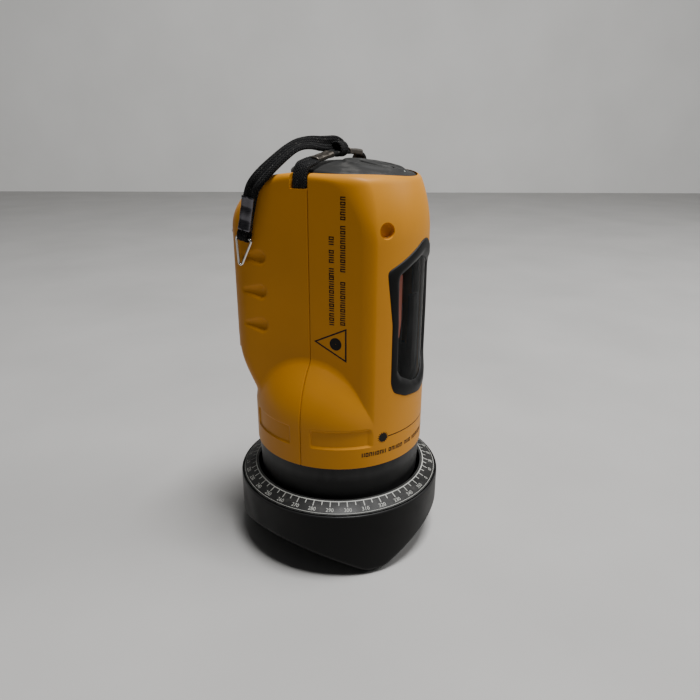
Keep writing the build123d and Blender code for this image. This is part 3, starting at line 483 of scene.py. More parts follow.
def half_shell(name, sign):
    """One closed half of the head's outside, with a small round along its seam."""
    centre = radians(90 * sign)
    lip = radians(0.62)
    corner = atan2(26.7, 28.8) if sign < 0 else atan2(36, 25)
    focus = [sign * corner, sign * (pi - corner)]
    angles = spread_angles(centre - pi / 2 + lip, centre + pi / 2 - lip, 300, focus, 1.2)
    heights = np.linspace(SHELL_Z, FAN_Z - 0.01, 200)
    fan = np.radians(np.linspace(1.2, 86.0, 92))
    origins, directions = head_rays(angles, heights, fan)
    surface = march(origins, directions, head_distance, 0.0)
    normals = gradient(head_distance, surface)
    rows, columns = surface.shape[:2]
    strips = []
    for column in (0, columns - 1):
        edge, normal = surface[:, column], normals[:, column].copy()
        normal[:, 1] = 0
        normal /= np.linalg.norm(normal, axis=1, keepdims=True)
        steps = []
        for turn in np.radians((90, 60, 30)):
            ring = edge - normal * SEAM_ROUND * (1 - cos(turn))
            ring[:, 1] = edge[:, 1] + (sign * SEAM_GAP - edge[:, 1]) * sin(turn)
            steps.append(ring)
        strips.append(steps)
    columns_list = strips[0] + [surface[:, c] for c in range(columns)] + strips[1][::-1]
    grid = np.stack(columns_list, axis=1)
    rows, columns = grid.shape[:2]
    grid[0, :, 2] = SHELL_Z
    points = grid.reshape(-1, 3).tolist()
    faces = grid_faces(rows, columns)
    for r in range(rows - 1):
        low, high = r * columns, (r + 1) * columns
        faces.append((high, high + columns - 1, low + columns - 1, low))
    faces.append(tuple(reversed(range(columns))))
    pole = len(points)
    points.append((0, sign * SEAM_GAP, TOP_Z))
    last = (rows - 1) * columns
    faces += [(last + c, last + (c + 1) % columns, pole) for c in range(columns)]
    obj = make_object(name, points, faces)
    return fix_normals(obj)


def full_form(name, shift, low_z):
    """Closed form of the whole head, grown by shift."""
    angles = full_turn(220)
    heights = np.concatenate(([low_z], np.linspace(SHELL_Z, FAN_Z - 0.01, 90)))
    fan = np.radians(np.linspace(1.5, 86, 40))
    origins, directions = head_rays(angles, heights, fan)
    surface = march(origins, directions, lambda p: head_distance(p, False), shift)
    rows, columns = surface.shape[:2]
    points = surface.reshape(-1, 3).tolist() + [(0, 0, TOP_Z + shift)]
    faces = grid_faces(rows, columns, wrap_columns=True)
    last = (rows - 1) * columns
    faces += [(last + c, last + (c + 1) % columns, rows * columns) for c in range(columns)]
    faces.append(tuple(reversed(range(columns))))
    obj = make_object(name, points, faces)
    return fix_normals(obj)


# ---- window outline
WINDOW_MIDDLE = np.array((0.0, 112.0))
OUTER_WINDOW = [
    (0, 77.3), (12.5, 79.4), (18.9, 82.8), (20.3, 87), (20.3, 113), (22.9, 135.4), (3.6, 145.4), (0, 146),
]
INNER_WINDOW = [
    (0, 82.6), (6, 83.8), (13.8, 88), (16.5, 92), (16.5, 128), (16.6, 133), (8.6, 136.6), (0, 139.2),
]


def mirrored(outline):
    left = [(-x, z) for x, z in reversed(outline) if x > 0]
    return np.array(outline + left, float)


def outline_reach(outline, angles, passes):
    """Distance from the window's middle to its outline at each angle, corners eased."""
    points = mirrored(outline) - WINDOW_MIDDLE
    rays = np.stack((np.cos(angles), np.sin(angles)), axis=1)
    reach = np.full(len(angles), 200.0)
    for start, end in zip(points, np.roll(points, -1, axis=0)):
        edge = end - start
        spin = rays[:, 0] * edge[1] - rays[:, 1] * edge[0]
        spin = np.where(np.abs(spin) < 1e-9, 1e-9, spin)
        out = (start[0] * edge[1] - start[1] * edge[0]) / spin
        along = (start[0] * rays[:, 1] - start[1] * rays[:, 0]) / spin
        hit = (out > 0) & (along >= -1e-6) & (along <= 1 + 1e-6)
        reach = np.where(hit, np.minimum(reach, out), reach)
    for _ in range(passes):
        reach = (np.roll(reach, 1) + reach * 2 + np.roll(reach, -1)) / 4
    return reach


WINDOW_TURNS = full_turn(360)
OUTER_REACH = outline_reach(OUTER_WINDOW, WINDOW_TURNS, 5)
INNER_REACH = outline_reach(INNER_WINDOW, WINDOW_TURNS, 8)


def window_line(fraction, grow=0.0):
    """(x, z) outline between the window's outer edge (0) and its opening (1)."""
    reach = OUTER_REACH * (1 - fraction) + INNER_REACH * fraction + grow
    return WINDOW_MIDDLE + np.stack((np.cos(WINDOW_TURNS), np.sin(WINDOW_TURNS)), axis=1) * reach[:, None]


def on_round(line, radius):
    return [(x, -sqrt(max(radius**2 - x * x, 1)), z) for x, z in line]


# ---- shells
def ellipse_line(semi_x, semi_y, centre_y):
    return [(semi_x * cos(a), centre_y + semi_y * sin(a)) for a in full_turn(200)]


PAD_Y, PAD_A, PAD_B = -6.8, 24.5, 26.8
SCREWS_UP, SCREWS_LOW = (22.7, 151.4), (20.0, 73.0)
DENT_X, DENT_Y = 23.2, -31.7
# each row is a radius and a distance along the hole's axis
RECESS = [
    (0.2, -2.6), (2.3, -2.5), (2.95, -1.9), (3.15, -0.5), (3.35, 0.0), (3.8, 0.4), (4.2, 0.6), (4.2, 6),
]
SCREW_HOLE = [(1.7, -30), (1.7, 0), (3.5, 0.01), (3.8, 1), (3.8, 16)]


POST_UP, POST_LOW, POST_Y = 4.9, 4.4, -26.5
SLOT_X, HATCH_X, HATCH_TOP = (24.0, 34.0), 22.3, 149.4
SEAT_Z, BUTTON_HOLE = 166.5, (6.5, -24.5, -9.5)


def build_shells():
    """The two halves: hollowed, given screw posts, then cut for pad, window, strap and hatch."""
    inner = full_form("inner_form", -WALL, SHELL_Z - 5)
    keep = [prism_object(ellipse_line(PAD_A + 2, PAD_B + 2, PAD_Y), "z", 164.3, 180)]
    for side in (-1, 1):
        low, high = sorted((side * 22.4, side * 32))
        keep.append(box_object((low, -2.6, 162), (high, 10.4, 172)))
    keep.append(box_object((-25, 34.5, 90.5), (25, 45, 151.4)))
    boolean(inner, "DIFFERENCE", keep)
    shells = {}
    for name, sign in (("front_shell_skin", -1), ("rear_shell_skin", 1)):
        shell = half_shell(name, sign)
        boolean(shell, "DIFFERENCE", [inner])
        bosses, cuts = [], []
        for side in (-1, 1):
            up_x, up_z = side * SCREWS_UP[0], SCREWS_UP[1]
            low_x, low_z = side * SCREWS_LOW[0], SCREWS_LOW[1]
            if sign < 0:
                bosses.append(turned([(POST_UP, 0), (POST_UP, 25.5)], (up_x, POST_Y, up_z), (0, 1, 0)))
                dent, outward = (side * DENT_X, DENT_Y, up_z), (side * DENT_X, DENT_Y, 3.0)
                bosses.append(turned([(4.5, -6), (4.5, -1.4)], dent, outward))
                bosses.append(turned([(POST_LOW, 0), (POST_LOW, 26)], (low_x, POST_Y, low_z), (0, 1, 0)))
                cuts.append(turned(RECESS, dent, outward))
            else:
                bosses.append(turned([(POST_UP, 0), (POST_UP, 8)], (up_x, 0.5, up_z), (0, 1, 0)))
                bosses.append(turned([(POST_LOW, 0), (POST_LOW, 26)], (low_x, 0.5, low_z), (0, 1, 0)))
                cuts.append(turned(SCREW_HOLE, (low_x, 29, low_z), (0, 1, 0)))
                low, high = sorted(side * x for x in SLOT_X)
                cuts.append(box_object((low, -1, 166.0), (high, 7.8, 182)))
        boolean(shell, "UNION", bosses)
        cuts.append(prism_object(ellipse_line(PAD_A + 0.15, PAD_B + 0.15, PAD_Y), "z", SEAT_Z, 185))
        half, near, far = BUTTON_HOLE
        cuts.append(box_object((-half, near, 160), (half, far, 170)))
        if sign < 0:
            cuts.append(prism_object([tuple(p) for p in window_line(0, 0.15)], "y", -60, -12))
        else:
            # the opening, the ledge that the hatch rests on and the room for its hinge
            for half, near, low in ((20.5, 33, 95), (HATCH_X, 38.2, 93.2), (HATCH_X, 35.5, 144)):
                cuts.append(box_object((-half, near, low), (half, 45, HATCH_TOP)))
        boolean(shell, "DIFFERENCE", cuts)
        drop(bosses + cuts)
        finish_mesh(shell, 32)
        dress(shell, YELLOW)
        shells[name] = shell
    drop(keep + [inner])
    return shells


shells = build_shells()
place(shells["front_shell_skin"], "head", "yellow", "front_shell")
place(shells["rear_shell_skin"], "head", "yellow", "rear_shell")


# ---- bezel
def build_bezel():
    """Proud frame with a soft outer edge and a long inner chamfer, as a closed ring."""
    # share of the way to the opening, growth, radius about the turning axis
    rows = [
        (0.0, -0.05, 37.9), (0.0, -0.05, 39.35), (0.03, 0.0, 39.62), (0.10, 0.0, 39.78), (0.50, 0.0, 39.80),
        (0.62, 0.0, 39.72), (0.72, 0.0, 39.50), (1.0, -0.2, 38.35), (1.0, -0.35, 38.15), (1.0, -0.35, 37.9),
    ]
    points = []
    for fraction, grow, radius in rows:
        points += on_round(window_line(fraction, grow), radius)
    faces = grid_faces(len(rows), 360, wrap_columns=True, wrap_rows=True)
    obj = make_object("bezel_frame", points, faces, BEZEL_BLACK, 50)
    place(fix_normals(obj), "head", "black_plastic", "window_bezel")


build_bezel()

# a strip of the yellow inner wall seen through the window; its salmon colour is painted shade on the yellow
STRIP_LINE = [(-15.7, 106), (-13.6, 106), (-11.6, 113), (-11.6, 131.5), (-13.2, 133.4), (-15.7, 131)]
wall_strip = prism_object(STRIP_LINE, "y", -34.3, -32.6)
dress(wall_strip, SHADED_WALL_TONE)
finish_mesh(wall_strip)
wall_strip.name = "inner_wall_strip"
place(wall_strip, "head", "black_plastic")


# ---- base and dial
# three sloped cuts under the round wall: their directions, reach at the table and slope
CUT_ANGLES = np.radians((45, 165, 285))
CUT_FLAT, CUT_SLOPE = 27.0, 0.68


def base_distance(p):
    x, y, z = p[..., 0], p[..., 1], p[..., 2]
    rho = np.hypot(x, y)
    body = round_max(rho - BASE_R + 0.004 * (RIM_Z - z), z - RIM_Z, 1.0)
    body = round_max(body, 1.2 - z, 2.0)
    tilt = hypot(1, CUT_SLOPE)
    for angle in CUT_ANGLES:
        out = x * cos(angle) + y * sin(angle)
        plane = (1.2 + CUT_SLOPE * (out - CUT_FLAT) - z) / tilt
        body = round_max(body, plane, 1.3)
    return body


def build_base():
    """Outside of the base by rays from inside, closed by the turned inside of its bore."""
    columns = 420
    turns = full_turn(columns)
    climb = ((-88, -20, 60), (-19, 20, 40), (21, 62, 34))
    fan = np.radians(np.concatenate([np.linspace(*part) for part in climb]))
    ring = np.stack((np.cos(turns), np.sin(turns), np.zeros(columns)), axis=1)
    start = ring[None] * 26.0 + np.array((0, 0, 22.0))
    ray = ring[None] * np.cos(fan)[:, None, None] + np.array((0, 0, 1.0)) * np.sin(fan)[:, None, None]
    surface = march(np.broadcast_to(start, ray.shape), ray, base_distance, 0.0)
    rim = [(47.5, 32.0), (47.5, 30.0), (12.0, 30.0), (9.0, 30.0), (9.0, 4.0), (23.9, 3.2), (23.9, 1.2)]
    tail = np.array([[(r * cos(a), r * sin(a), z) for a in turns] for r, z in rim])
    limit = np.hypot(surface[-1, :, 0], surface[-1, :, 1])
    surface[-1] *= np.stack((47.9 / limit, 47.9 / limit, np.ones(columns)), axis=1)
    grid = np.concatenate((surface, tail))
    faces = grid_faces(len(grid), columns, wrap_columns=True, wrap_rows=True)
    obj = make_object("base_body", grid.reshape(-1, 3), faces, BASE_BLACK, 30)
    place(fix_normals(obj), "base", "base_grey", "base_housing")


build_base()

PRINT_LIFT = 0.03
FIGURE_R, FIGURE_SIZE = 45.3, 2.35
dial = lathe(
    "dial_scale",
    [
        (39.9, 30.0), (47.4, 30.0), (47.4, 31.95), (47.15, 32.25), (46.9, 32.42),
        (40.9, 35.14), (40.55, 35.22), (40.2, 35.2), (39.95, 35.0), (39.9, 34.7),
    ],
    DIAL_BLACK, 360, 40,
)
fix_normals(dial)
place(dial, "base", "dial_grey", "dial_ring")


def on_dial(radius, angle):
    """Point just over the sloped dial at a radius and angle."""
    slope = (32.42 - 35.14) / (46.9 - 40.9)
    return radius * cos(angle), radius * sin(angle), 35.14 + slope * (radius - 40.9) + PRINT_LIFT


def dial_marks():
    """Tick every 5 degrees, a figure every 10 and two thin rings."""
    points, faces = [], []

    def patch(r0, r1, angle, half_width):
        start = len(points)
        for radius in (r0, r1):
            for side in (-1, 1):
                points.append(on_dial(radius, angle + side * half_width / radius))
        faces.append((start, start + 1, start + 3, start + 2))

    for index in range(72):
        angle = radians(index * 5)
        patch(41.35, 43.9 if index % 2 == 0 else 43.2, angle, 0.21)
    for r0, r1 in ((41.15, 41.55), (46.75, 46.9)):
        start = len(points)
        for index in range(360):
            for radius in (r0, r1):
                points.append(on_dial(radius, radians(index)))
        faces += grid_faces(360, 2, wrap_rows=True, start=start)
    for index in range(36):
        angle = radians(index * 10 - 90)
        curve = bpy.data.curves.new("figure", "FONT")
        curve.body = str(index * 10)
        curve.size = FIGURE_SIZE
        curve.align_x = "CENTER"
        curve.align_y = "CENTER"
        curve.resolution_u = 3
        spots, polygons = curve_shape(curve)
        start = len(points)
        points += [on_dial(FIGURE_R - up, angle + across / FIGURE_R) for across, up, _ in spots]
        faces.extend(tuple(start + i for i in polygon) for polygon in polygons)
    obj = make_object("dial_print", points, faces, PRINT_WHITE)
    place(obj, "base", "dial_grey")


dial_marks()


# ---- printed marks on the head
SIDE_X = -HALF_W - 0.035
SIDE_PITCH = 1.85
# each row is a y and its groups, and each group is a start height and a count of marks
SIDE_ROWS = (
    (-10.3, ((112.5, 3), (118.4, 8), (132.9, 2), (138.3, 3), (145.4, 2))),
    (-15.3, ((113.0, 10), (135.0, 10), (155.2, 5))),
)


def strips(bars, to_surface, pieces):
    """Thin printed bars: each (u0, u1, v0, v1) is laid on a surface in short lengths."""
    points, faces = [], []
    for u0, u1, v0, v1 in bars:
        start = len(points)
        for i in range(pieces + 1):
            u = u0 + (u1 - u0) * i / pieces
            points.append(to_surface(u, v0))
            points.append(to_surface(u, v1))
        for first in range(start, start + 2 * pieces, 2):
            faces.append((first, first + 2, first + 3, first + 1))
    return points, faces


def plain_stroke(u, v, kind, tall):
    """Two posts joined by a bar, or an open box: a mark with no meaning."""
    wide, post, bar = 1.41, 0.46, 0.42
    bars = [(u, u + post, v - tall, v + tall), (u + wide - post, u + wide, v - tall, v + tall)]
    if kind % 3 != 1:
        bars.append((u, u + wide, v + tall - bar, v + tall))
    if kind % 3 == 2:
        bars.append((u, u + wide, v - tall, v - tall + bar))
    return bars


def side_marks():
    """Plain rows of short bars and an open triangle round a dot, on the -X side near the seam."""
    bars = []
    for v, words in SIDE_ROWS:
        for start, count in words:
            for k in range(count):
                bars += plain_stroke(start + SIDE_PITCH * k, v, k + int(start), 1.1)
    points, faces = strips(bars, lambda u, v: (SIDE_X, v, u), 2)

    start = len(points)
    corners = [(-1.9, 104.4), (-17.0, 97.0), (-17.0, 111.8)]
    centre = (sum(c[0] for c in corners) / 3, sum(c[1] for c in corners) / 3)
    for scale in (1.0, 0.86):
        for a, b in corners:
            y, z = centre[0] + (a - centre[0]) * scale, centre[1] + (b - centre[1]) * scale
            points.append((SIDE_X, y, z))
    faces += grid_faces(2, 3, wrap_columns=True, start=start)
    ring = len(points)
    for radius in (2.7, 0.1):
        for k in range(40):
            a = 2 * pi * k / 40
            points.append((SIDE_X, -12.0 + radius * cos(a), 104.4 + radius * sin(a)))
    faces += grid_faces(2, 40, wrap_columns=True, start=ring)
    obj = make_object("side_print", points, faces, PRINT_BLACK)
    place(obj, "head", "yellow")


def front_marks():
    """A plain dot with a line that runs round the foot, and a row of short bars below it."""

    def on_foot(arc, z):
        a = radians(arc)
        return (FOOT_R + 0.05) * cos(a), (FOOT_R + 0.05) * sin(a), z

    line_z, row_z, pitch = 62.95, 56.1, 2.5
    bars = [(236.5, 303.5, line_z - 0.2, line_z + 0.2)]
    start = 219.5
    for count in (7, 5, 3, 7, 6, 5, 3, 4):
        for k in range(count):
            for u0, u1, v0, v1 in plain_stroke(0, 0, k + count, 0.95):
                at = start + pitch * k
                bars.append((at + u0 * 1.4, at + u1 * 1.4, row_z + v0, row_z + v1))
        start += pitch * count + 1.6
    points, faces = strips(bars, on_foot, 40)
    for arc in (234.0, 306.0):
        ring = len(points)
        for k in range(48):
            a = 2 * pi * k / 48
            reach = 2.8 if k % 3 == 0 else 2.0
            at = arc + degrees(reach * cos(a) / FOOT_R)
            points.append(on_foot(at, 63 + reach * sin(a)))
        faces.append(tuple(range(ring, ring + 48)))
    obj = make_object("front_print", points, faces, PRINT_BLACK)
    place(obj, "head", "yellow")


side_marks()
front_marks()


# ---- top pad and button
PAD_CREST, PAD_BALL = 175.9, 88
BUTTON_Y, BUTTON_A, BUTTON_B = -17, 4.3, 7.3


def pad_crown(x, y):
    return PAD_CREST - PAD_BALL + sqrt(PAD_BALL**2 - x * x - (y + 3) ** 2)


def pad_height(x, y):
    """The pad's crown with the raised ring round the button and a soft outer edge."""
    reach = hypot(x / 13.5, (y + 16.0) / 14.0)
    ring = exp(-(((reach - 0.86) / 0.085) ** 2)) * 0.8
    edge = hypot(x / PAD_A, (y - PAD_Y) / PAD_B)
    return pad_crown(x, y) + ring - 0.9 * max(0, (edge - 0.94) / 0.06) ** 2


def build_pad():
    columns = 220
    turns = full_turn(columns)
    hole = [((BUTTON_A + 0.5) * cos(a), BUTTON_Y + (BUTTON_B + 0.5) * sin(a)) for a in turns]
    outer = [(PAD_A * 0.999 * cos(a), PAD_Y + PAD_B * 0.999 * sin(a)) for a in turns]
    rows = []
    for fraction in np.linspace(0, 1, 70):
        ring = []
        for (hx, hy), (ox, oy) in zip(hole, outer):
            x, y = hx + (ox - hx) * fraction, hy + (oy - hy) * fraction
            ring.append((x, y, pad_height(x, y)))
        rows.append(ring)
    rows.append([(x, y, 166.6) for x, y in outer])
    rows.append([(x, y, 166.6) for x, y in hole])
    points = np.array(rows).reshape(-1, 3)
    obj = make_object("pad_skin", points, grid_faces(len(rows), columns, True, True), PAD_BLACK, 45)
    place(fix_normals(obj), "head", "pad_black", "top_pad")


def build_button():
    columns = 120
    turns = full_turn(columns)
    rows = [[(BUTTON_A * cos(a), BUTTON_Y + BUTTON_B * sin(a), 168.5) for a in turns]]
    for fraction in np.concatenate((np.linspace(1.0, 0.86, 6), np.linspace(0.8, 0.04, 16))):
        ring = []
        for a in turns:
            x, y = BUTTON_A * fraction * cos(a), BUTTON_Y + BUTTON_B * fraction * sin(a)
            dish = 0.45 - 0.7 * max(0, (fraction - 0.86) / 0.14) ** 2
            slot = 0.8 * exp(-((x / 1.1) ** 4)) * exp(-(((y - BUTTON_Y) / 4.6) ** 6))
            ring.append((x, y, pad_crown(x, y) + dish - slot))
        rows.append(ring)
    points = np.array(rows).reshape(-1, 3).tolist()
    faces = grid_faces(len(rows), columns, wrap_columns=True)
    last = (len(rows) - 1) * columns
    faces.append(tuple(last + c for c in range(columns)))
    faces.append(tuple(reversed(range(columns))))
    obj = make_object("button_cap", points, faces, PAD_BLACK, 45)
    place(fix_normals(obj), "button", "pad_black", "power_button")


build_pad()
build_button()


# ---- strap
# the middle lines of the two cords, as in part.py
CROSS_ROUTE = [
    (-27.7, 3.9, 166.2), (-27.7, 3.9, 173.8), (-22.6, 2.4, 175.9), (-5.4, -0.1, 178.9), (1.2, -1.0, 179.7),
    (17.0, -2.4, 178.4), (23.4, 0.4, 176.0), (27.7, 3.9, 173.8), (27.7, 3.9, 166.2),
]
MAIN_ROUTE = [
    (0.9, -0.8, 178.4), (0.5, -0.5, 182.6), (-7.0, 3.9, 182.1), (-12.5, 7.0, 182.9), (-18.5, 10.6, 181.9),
    (-25.2, 14.6, 176.8), (-31.2, 20.6, 169.4), (-31.0, 24.8, 163.9), (-31.0, 28.0, 148.9),
]


def nurbs_line(route):
    """Points along the route's smooth line, in metres."""
    curve = bpy.data.curves.new("line", "CURVE")
    curve.dimensions = "3D"
    spline = curve.splines.new("NURBS")
    spline.points.add(len(route) - 1)
    for point, place_at in zip(spline.points, route):
        point.co = (*[v * MM for v in place_at], 1.0)
    spline.order_u = 3
    spline.use_endpoint_u = True
    curve.resolution_u = 24
    return curve_shape(curve)[0]


def even_line(line, spacing):
    """The same line cut at even distances."""
    line = np.array(line)
    lengths = np.concatenate(([0], np.cumsum(np.linalg.norm(np.diff(line, axis=0), axis=1))))
    count = max(8, int(lengths[-1] / spacing))
    at = np.linspace(0, lengths[-1], count)
    return np.stack([np.interp(at, lengths, line[:, k]) for k in range(3)], axis=1), at


TAPE = [
    (-3.15, 0.0), (-3.0, 0.5), (-2.55, 0.86), (-1.9, 0.95), (-1.1, 0.9), (-0.4, 0.68), (0.0, 0.5),
    (0.4, 0.68), (1.1, 0.9), (1.9, 0.95), (2.55, 0.86), (3.0, 0.5), (3.15, 0.0),
]
TAPE_WIDTH = 6.3
TAPE_SECTION = np.array(TAPE + [(x, -y) for x, y in reversed(TAPE[1:-1])])


def tape_mesh(name, route, facings, widths=((0, 1), (1, 1)), thickness_scale=1.0):
    """Woven tape along a route; facings and widths are (share of length, value) pairs."""
    centres, at = even_line(nurbs_line(route), 0.00035)
    tangents = np.gradient(centres, axis=0)
    tangents /= np.linalg.norm(tangents, axis=1, keepdims=True)
    shares = [share for share, _ in facings]
    dirs = np.array([Vector(d).normalized() for _, d in facings])
    facing = np.stack([np.interp(at / at[-1], shares, dirs[:, k]) for k in range(3)], axis=1)
    for _ in range(40):
        facing[1:-1] = (facing[:-2] + facing[1:-1] * 2 + facing[2:]) / 4
    facing -= tangents * (facing * tangents).sum(axis=1, keepdims=True)
    facing /= np.linalg.norm(facing, axis=1, keepdims=True)
    across = np.cross(tangents, facing)
    outline = TAPE_SECTION * (1, thickness_scale) * MM
    narrow = np.interp(at / at[-1], [w[0] for w in widths], [w[1] for w in widths])[:, None, None]
    rows = centres[:, None] + across[:, None] * outline[None, :, :1] * narrow
    rows = rows + facing[:, None] * outline[None, :, 1:]
    count, columns = rows.shape[:2]
    points = rows.reshape(-1, 3) / MM
    faces = grid_faces(count, columns, wrap_columns=True)
    faces.append(tuple(reversed(range(columns))))
    faces.append(tuple((count - 1) * columns + c for c in range(columns)))
    obj = make_object(name, points, faces, STRAP, 60)
    set_uv(obj, [(x / MM, v / MM) for v in at for x in outline[:, 0]])
    return obj, [tuple(c) for c in centres], float(at[-1])


cross, cross_line, cross_length = tape_mesh(
    "cross_strap_tape",
    CROSS_ROUTE,
    [(0, (-1, 0, 0)), (0.1, (-1, 0, 0.3)), (0.22, (-0.3, -0.25, 1)), (0.5, (0, -0.3, 1)),
     (0.8, (0.3, -0.2, 1)), (0.9, (1, 0, 0.3)), (1, (1, 0, 0))],
    ((0, 1), (0.2, 1), (0.25, 0.7), (0.44, 0.7), (0.5, 0.85), (0.56, 0.7), (0.76, 0.7), (0.82, 1), (1, 1)),
    0.8,
)
place(cross, "head", "strap", "cross_strap")
main, main_line, main_length = tape_mesh(
    "main_strap_tape",
    MAIN_ROUTE,
    [(0, (-0.5, -0.87, 0)), (0.14, (-0.5, -0.87, 0.1)), (0.28, (-0.35, -0.6, 0.7)),
     (0.4, (-0.25, -0.35, 0.9)), (0.52, (-0.5, -0.35, 0.75)), (0.66, (-0.85, -0.35, 0.35)),
     (0.78, (-1, -0.1, 0.1)), (1, (-1, 0, 0))],
)
place(main, "head", "strap", "main_strap")


def vec(*values):
    return np.array(values, float)


def unit(v):
    return v / np.linalg.norm(v)


def fabric_loop(name, centre, axis, up, reach_up, reach_side, width):
    """Tape wound once about an axis, as a closed band with a rounded section."""
    axis, count = unit(axis), 120
    up = unit(up - axis * np.dot(up, axis))
    side = np.cross(axis, up)
    outline = TAPE_SECTION * (width / TAPE_WIDTH, 0.62)
    points, uvs, path = [], [], 0.0
    last = None
    for turn in full_turn(count):
        lean = 0.5 * sin(turn)
        at = centre + up * reach_up * cos(turn) + side * reach_side * sin(turn) + axis * lean
        out = unit(up * cos(turn) * reach_side + side * sin(turn) * reach_up)
        path += 0 if last is None else np.linalg.norm(at - last)
        last = at
        for a, b in outline:
            points.append(at + axis * a + out * b)
            uvs.append((a, path))
    obj = make_object(name, points, grid_faces(count, len(outline), True, True), STRAP, 60)
    set_uv(obj, uvs)
    return obj


def crimped(name, spans, material):
    """Sleeves pressed flat on the strap: (start, end, length, face direction, width, thickness)."""
    points, faces, around = [], [], 72
    # share of length, share of width, share of thickness
    stations = [
        (0.0, 0.86, 0.55), (0.0, 0.97, 0.92), (0.012, 1.0, 1.0), (0.05, 1.0, 1.0), (0.08, 0.97, 0.93),
        (0.22, 0.965, 0.9), (0.27, 0.95, 0.8), (0.33, 0.95, 0.78), (0.38, 0.965, 0.88), (0.62, 0.965, 0.88),
        (0.67, 0.95, 0.78), (0.73, 0.95, 0.8), (0.78, 0.965, 0.9), (0.92, 0.97, 0.93), (0.95, 1.0, 1.0),
        (0.988, 1.0, 1.0), (1.0, 0.97, 0.92), (1.0, 0.86, 0.55),
    ]
    for start_at, end_at, length, face, width, thick in spans:
        a, b = vec(*start_at), vec(*end_at)
        run = unit(b - a)
        low = (a + b) / 2 - run * length / 2
        face = unit(vec(*face) - run * np.dot(vec(*face), run))
        across = np.cross(run, face)
        first = len(points)
        for share, wide, deep in stations:
            for k in range(around):
                turn = 2 * pi * k / around
                c, d = cos(turn), sin(turn)
                x = copysign(abs(c) ** 0.42, c) * width / 2 * wide
                y = copysign(abs(d) ** 0.55, d) * thick / 2 * deep
                groove = 0.22 * exp(-((x / 0.7) ** 2)) * (1 if 0.04 < share < 0.96 else 0)
                y -= copysign(groove, y)
                points.append(low + run * share * length + across * x + face * y)
        faces += grid_faces(len(stations), around, True, False, first)
        top = first + (len(stations) - 1) * around
        faces.append(tuple(reversed(range(first, first + around))))
        faces.append(tuple(range(top, top + around)))
    obj = make_object(name, points, faces, material, 48)
    return fix_normals(obj)


STRAP_END, STRAP_LAST = vec(*MAIN_ROUTE[-1]), vec(*MAIN_ROUTE[-2])
RUN = unit(STRAP_END - STRAP_LAST)
SLEEVE = 13.8
main_spans = [(STRAP_END - RUN * SLEEVE, STRAP_END, SLEEVE, (-1, 0, 0), 6.1, 3.5)]
cross_spans = [
    (CROSS_ROUTE[2], CROSS_ROUTE[3], 11.5, (0, -0.1, 1), 5.0, 2.5),
    (CROSS_ROUTE[4], CROSS_ROUTE[5], 11.0, (0, -0.1, 1), 5.2, 2.7),
]
main_sleeve = crimped("main_ferrule_sleeve", main_spans, FERRULE)
place(main_sleeve, "head", "black_plastic", "strap_ferrule")
cross_sleeves = crimped("cross_ferrule_sleeves", cross_spans, FERRULE_WARM)
place(cross_sleeves, "head", "black_plastic", "cross_ferrules")
knot = fabric_loop("knot_wrap", vec(-1.2, -0.6, 180.2), vec(1, -0.15, 0), vec(0, 0, 1), 2.6, 2.4, 5.8)
place(knot, "head", "strap", "strap_knot")
fold = fabric_loop("fold_wrap", STRAP_END + RUN * 2.1, np.cross(RUN, vec(1, 0, 0)), RUN, 2.3, 1.0, 5.0)
place(fold, "head", "strap", "strap_fold")


# ---- carried-over nodes
LOOKS = (
    (BLACK, "base_cover swivel_collar upper_shell_screws tact_switch battery_tray magnet_holder"),
    (BRASS, "tripod_insert pivot_bush level_laser plumb_laser counterweight"),
    (STEEL,
     "cover_screws pivot_shaft shaft_nut lower_shell_screws contact_springs contact_plates "
     "board_screws door_hinge_rod bracket_screws roll_bearings damping_magnets strap_pins "
     "roll_pins pitch_pins pitch_bearings"),
    (RUBBER, "rubber_feet friction_washer"),
    (LENS, "window_lens"),
    (HOOD_BLACK, "beam_hood"),
    (LAMP, "status_lamp"),
    (BOARD, "keypad_board main_board"),
    (CELL, "battery_cells"),
    (ALLOY, "gimbal_bracket gimbal_ring pendulum_frame"),
    (OPTIC, "line_lenses"),
    (RING_STEEL, "wire_ring"),
)
for look, names in LOOKS:
    for node_name in names.split():
        dress(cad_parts[node_name], look)


def softened(name, source, material, width, body, slot):
    """The node's own mesh with its hard edges eased by a small round."""
    node_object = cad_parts[source]
    bm = bmesh.new()
    bm.from_mesh(node_object.data)
    bmesh.ops.remove_doubles(bm, verts=bm.verts, dist=2e-6)
    mesh = bpy.data.meshes.new(name)
    bm.to_mesh(mesh)
    bm.free()
    mesh.transform(node_object.matrix_world)
    obj = linked(name, mesh)
    mod = obj.modifiers.new("ease", "BEVEL")
    mod.width, mod.segments = width * MM, 2
    mod.limit_method, mod.angle_limit = "ANGLE", radians(50)
    mod.use_clamp_overlap = True
    eased = evaluated_mesh(obj)
    obj.modifiers.clear()
    obj.data = eased
    bpy.data.meshes.remove(mesh)
    finish_mesh(obj, 55)
    dress(obj, material)
    place(obj, body, slot, source)


softened("battery_door_panel", "battery_door", YELLOW, 0.3, "door", "yellow")


# ---- stage, light and camera
def matt(name, dark, light, scale, rough):
    mat, tree, shader = new_material(name)
    spot = ramp(tree, noise(tree, object_coords(tree), scale, 5), 0.3, 0.7)
    feed(shader, {"Base Color": mix_colour(tree, spot, dark, light), "Roughness": rough})
    return mat, shader


def stage_sheet(name, corners, mat):
    mesh = bpy.data.meshes.new(name)
    mesh.from_pydata([tuple(c) for c in corners], [], [(0, 1, 2, 3)])
    sheet = linked(name, mesh)
    dress(sheet, mat)


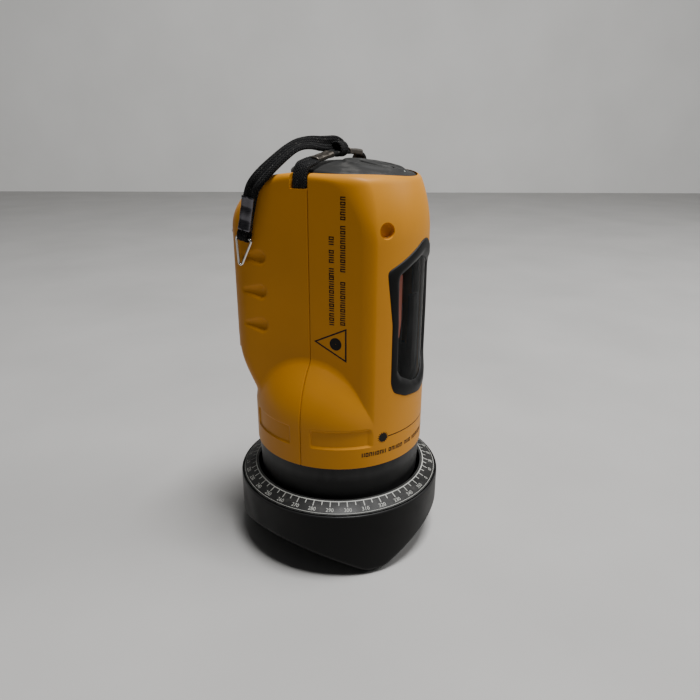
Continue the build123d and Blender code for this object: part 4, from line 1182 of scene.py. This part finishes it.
def build_stage():
    """Pale floor, a pale wall well behind the tool and a faint even sky."""
    reach, wall_away, wall_half, wall_high = 3.0, 1.7, 3, 2
    floor_mat, _ = matt("floor_matt", (0.35, 0.344, 0.335), (0.39, 0.383, 0.373), 9, 0.7)
    corners = ((-1, -1), (1, -1), (1, 1), (-1, 1))
    stage_sheet("floor", [(x * reach, y * reach, 0) for x, y in corners], floor_mat)
    away, along = Vector((0.9026, 0.4305, 0)), Vector((-0.4305, 0.9026, 0))
    wall_mat, wall_shader = matt("wall_matt", (0.50, 0.495, 0.48), (0.56, 0.555, 0.54), 5, 0.9)
    feed(wall_shader, {"Emission Color": (0.60, 0.595, 0.58), "Emission Strength": 0.27})
    edges = ((-wall_half, 0), (wall_half, 0), (wall_half, wall_high), (-wall_half, wall_high))
    foot_line = away * wall_away
    stage_sheet("wall", [foot_line + along * side + Vector((0, 0, z)) for side, z in edges], wall_mat)
    world = bpy.data.worlds.new("studio")
    bpy.context.scene.world = world
    world.use_nodes = True
    feed(world.node_tree.nodes["Background"], {"Color": (0.60, 0.61, 0.62), "Strength": 0.10})


def area_light(name, at, target, size, power):
    light = bpy.data.lights.new(name, "AREA")
    light.shape = "RECTANGLE"
    light.size = light.size_y = size
    light.energy = power
    obj = linked(name, light)
    obj.location = at
    obj.rotation_euler = (Vector(target) - Vector(at)).to_track_quat("-Z", "Y").to_euler()


# azimuth, pitch, yaw and roll in degrees; the place before the turn to that azimuth, in metres
CAMERA_ANGLES = (-64.5, 20.19, 1.08, 0.27)
CAMERA_AT = (0, -0.2647, 0.1878)
LENS_MM = 30.857


def build_camera():
    """The photo's view: level aim, then pitch, yaw and roll, all turned to the photo's azimuth."""
    azimuth, pitch, yaw, roll = (radians(v) for v in CAMERA_ANGLES)
    level = Vector((sin(yaw) * cos(pitch), cos(yaw) * cos(pitch), -sin(pitch)))
    right = Vector((cos(yaw), -sin(yaw), 0))
    up = right.cross(level)
    tilted_right = right * cos(roll) + up * sin(roll)
    tilted_up = up * cos(roll) - right * sin(roll)
    turn = Matrix.Rotation(azimuth, 3, "Z")
    axes = Matrix((turn @ tilted_right, turn @ tilted_up, turn @ -level)).transposed()
    data = bpy.data.cameras.new("camera")
    data.sensor_width = 36
    data.lens = LENS_MM
    camera = linked("camera", data)
    camera.matrix_world = Matrix.Translation(turn @ Vector(CAMERA_AT)) @ axes.to_4x4()
    bpy.context.scene.camera = camera


build_stage()
# name, place, aim, side in metres, power in watts
area_light("key", (0.6, -1.1, 0.95), (0, 0, 0.08), 0.8, 12)
area_light("overhead", (0.0, -0.3, 1.6), (0, 0, 0.1), 0.5, 41)
build_camera()
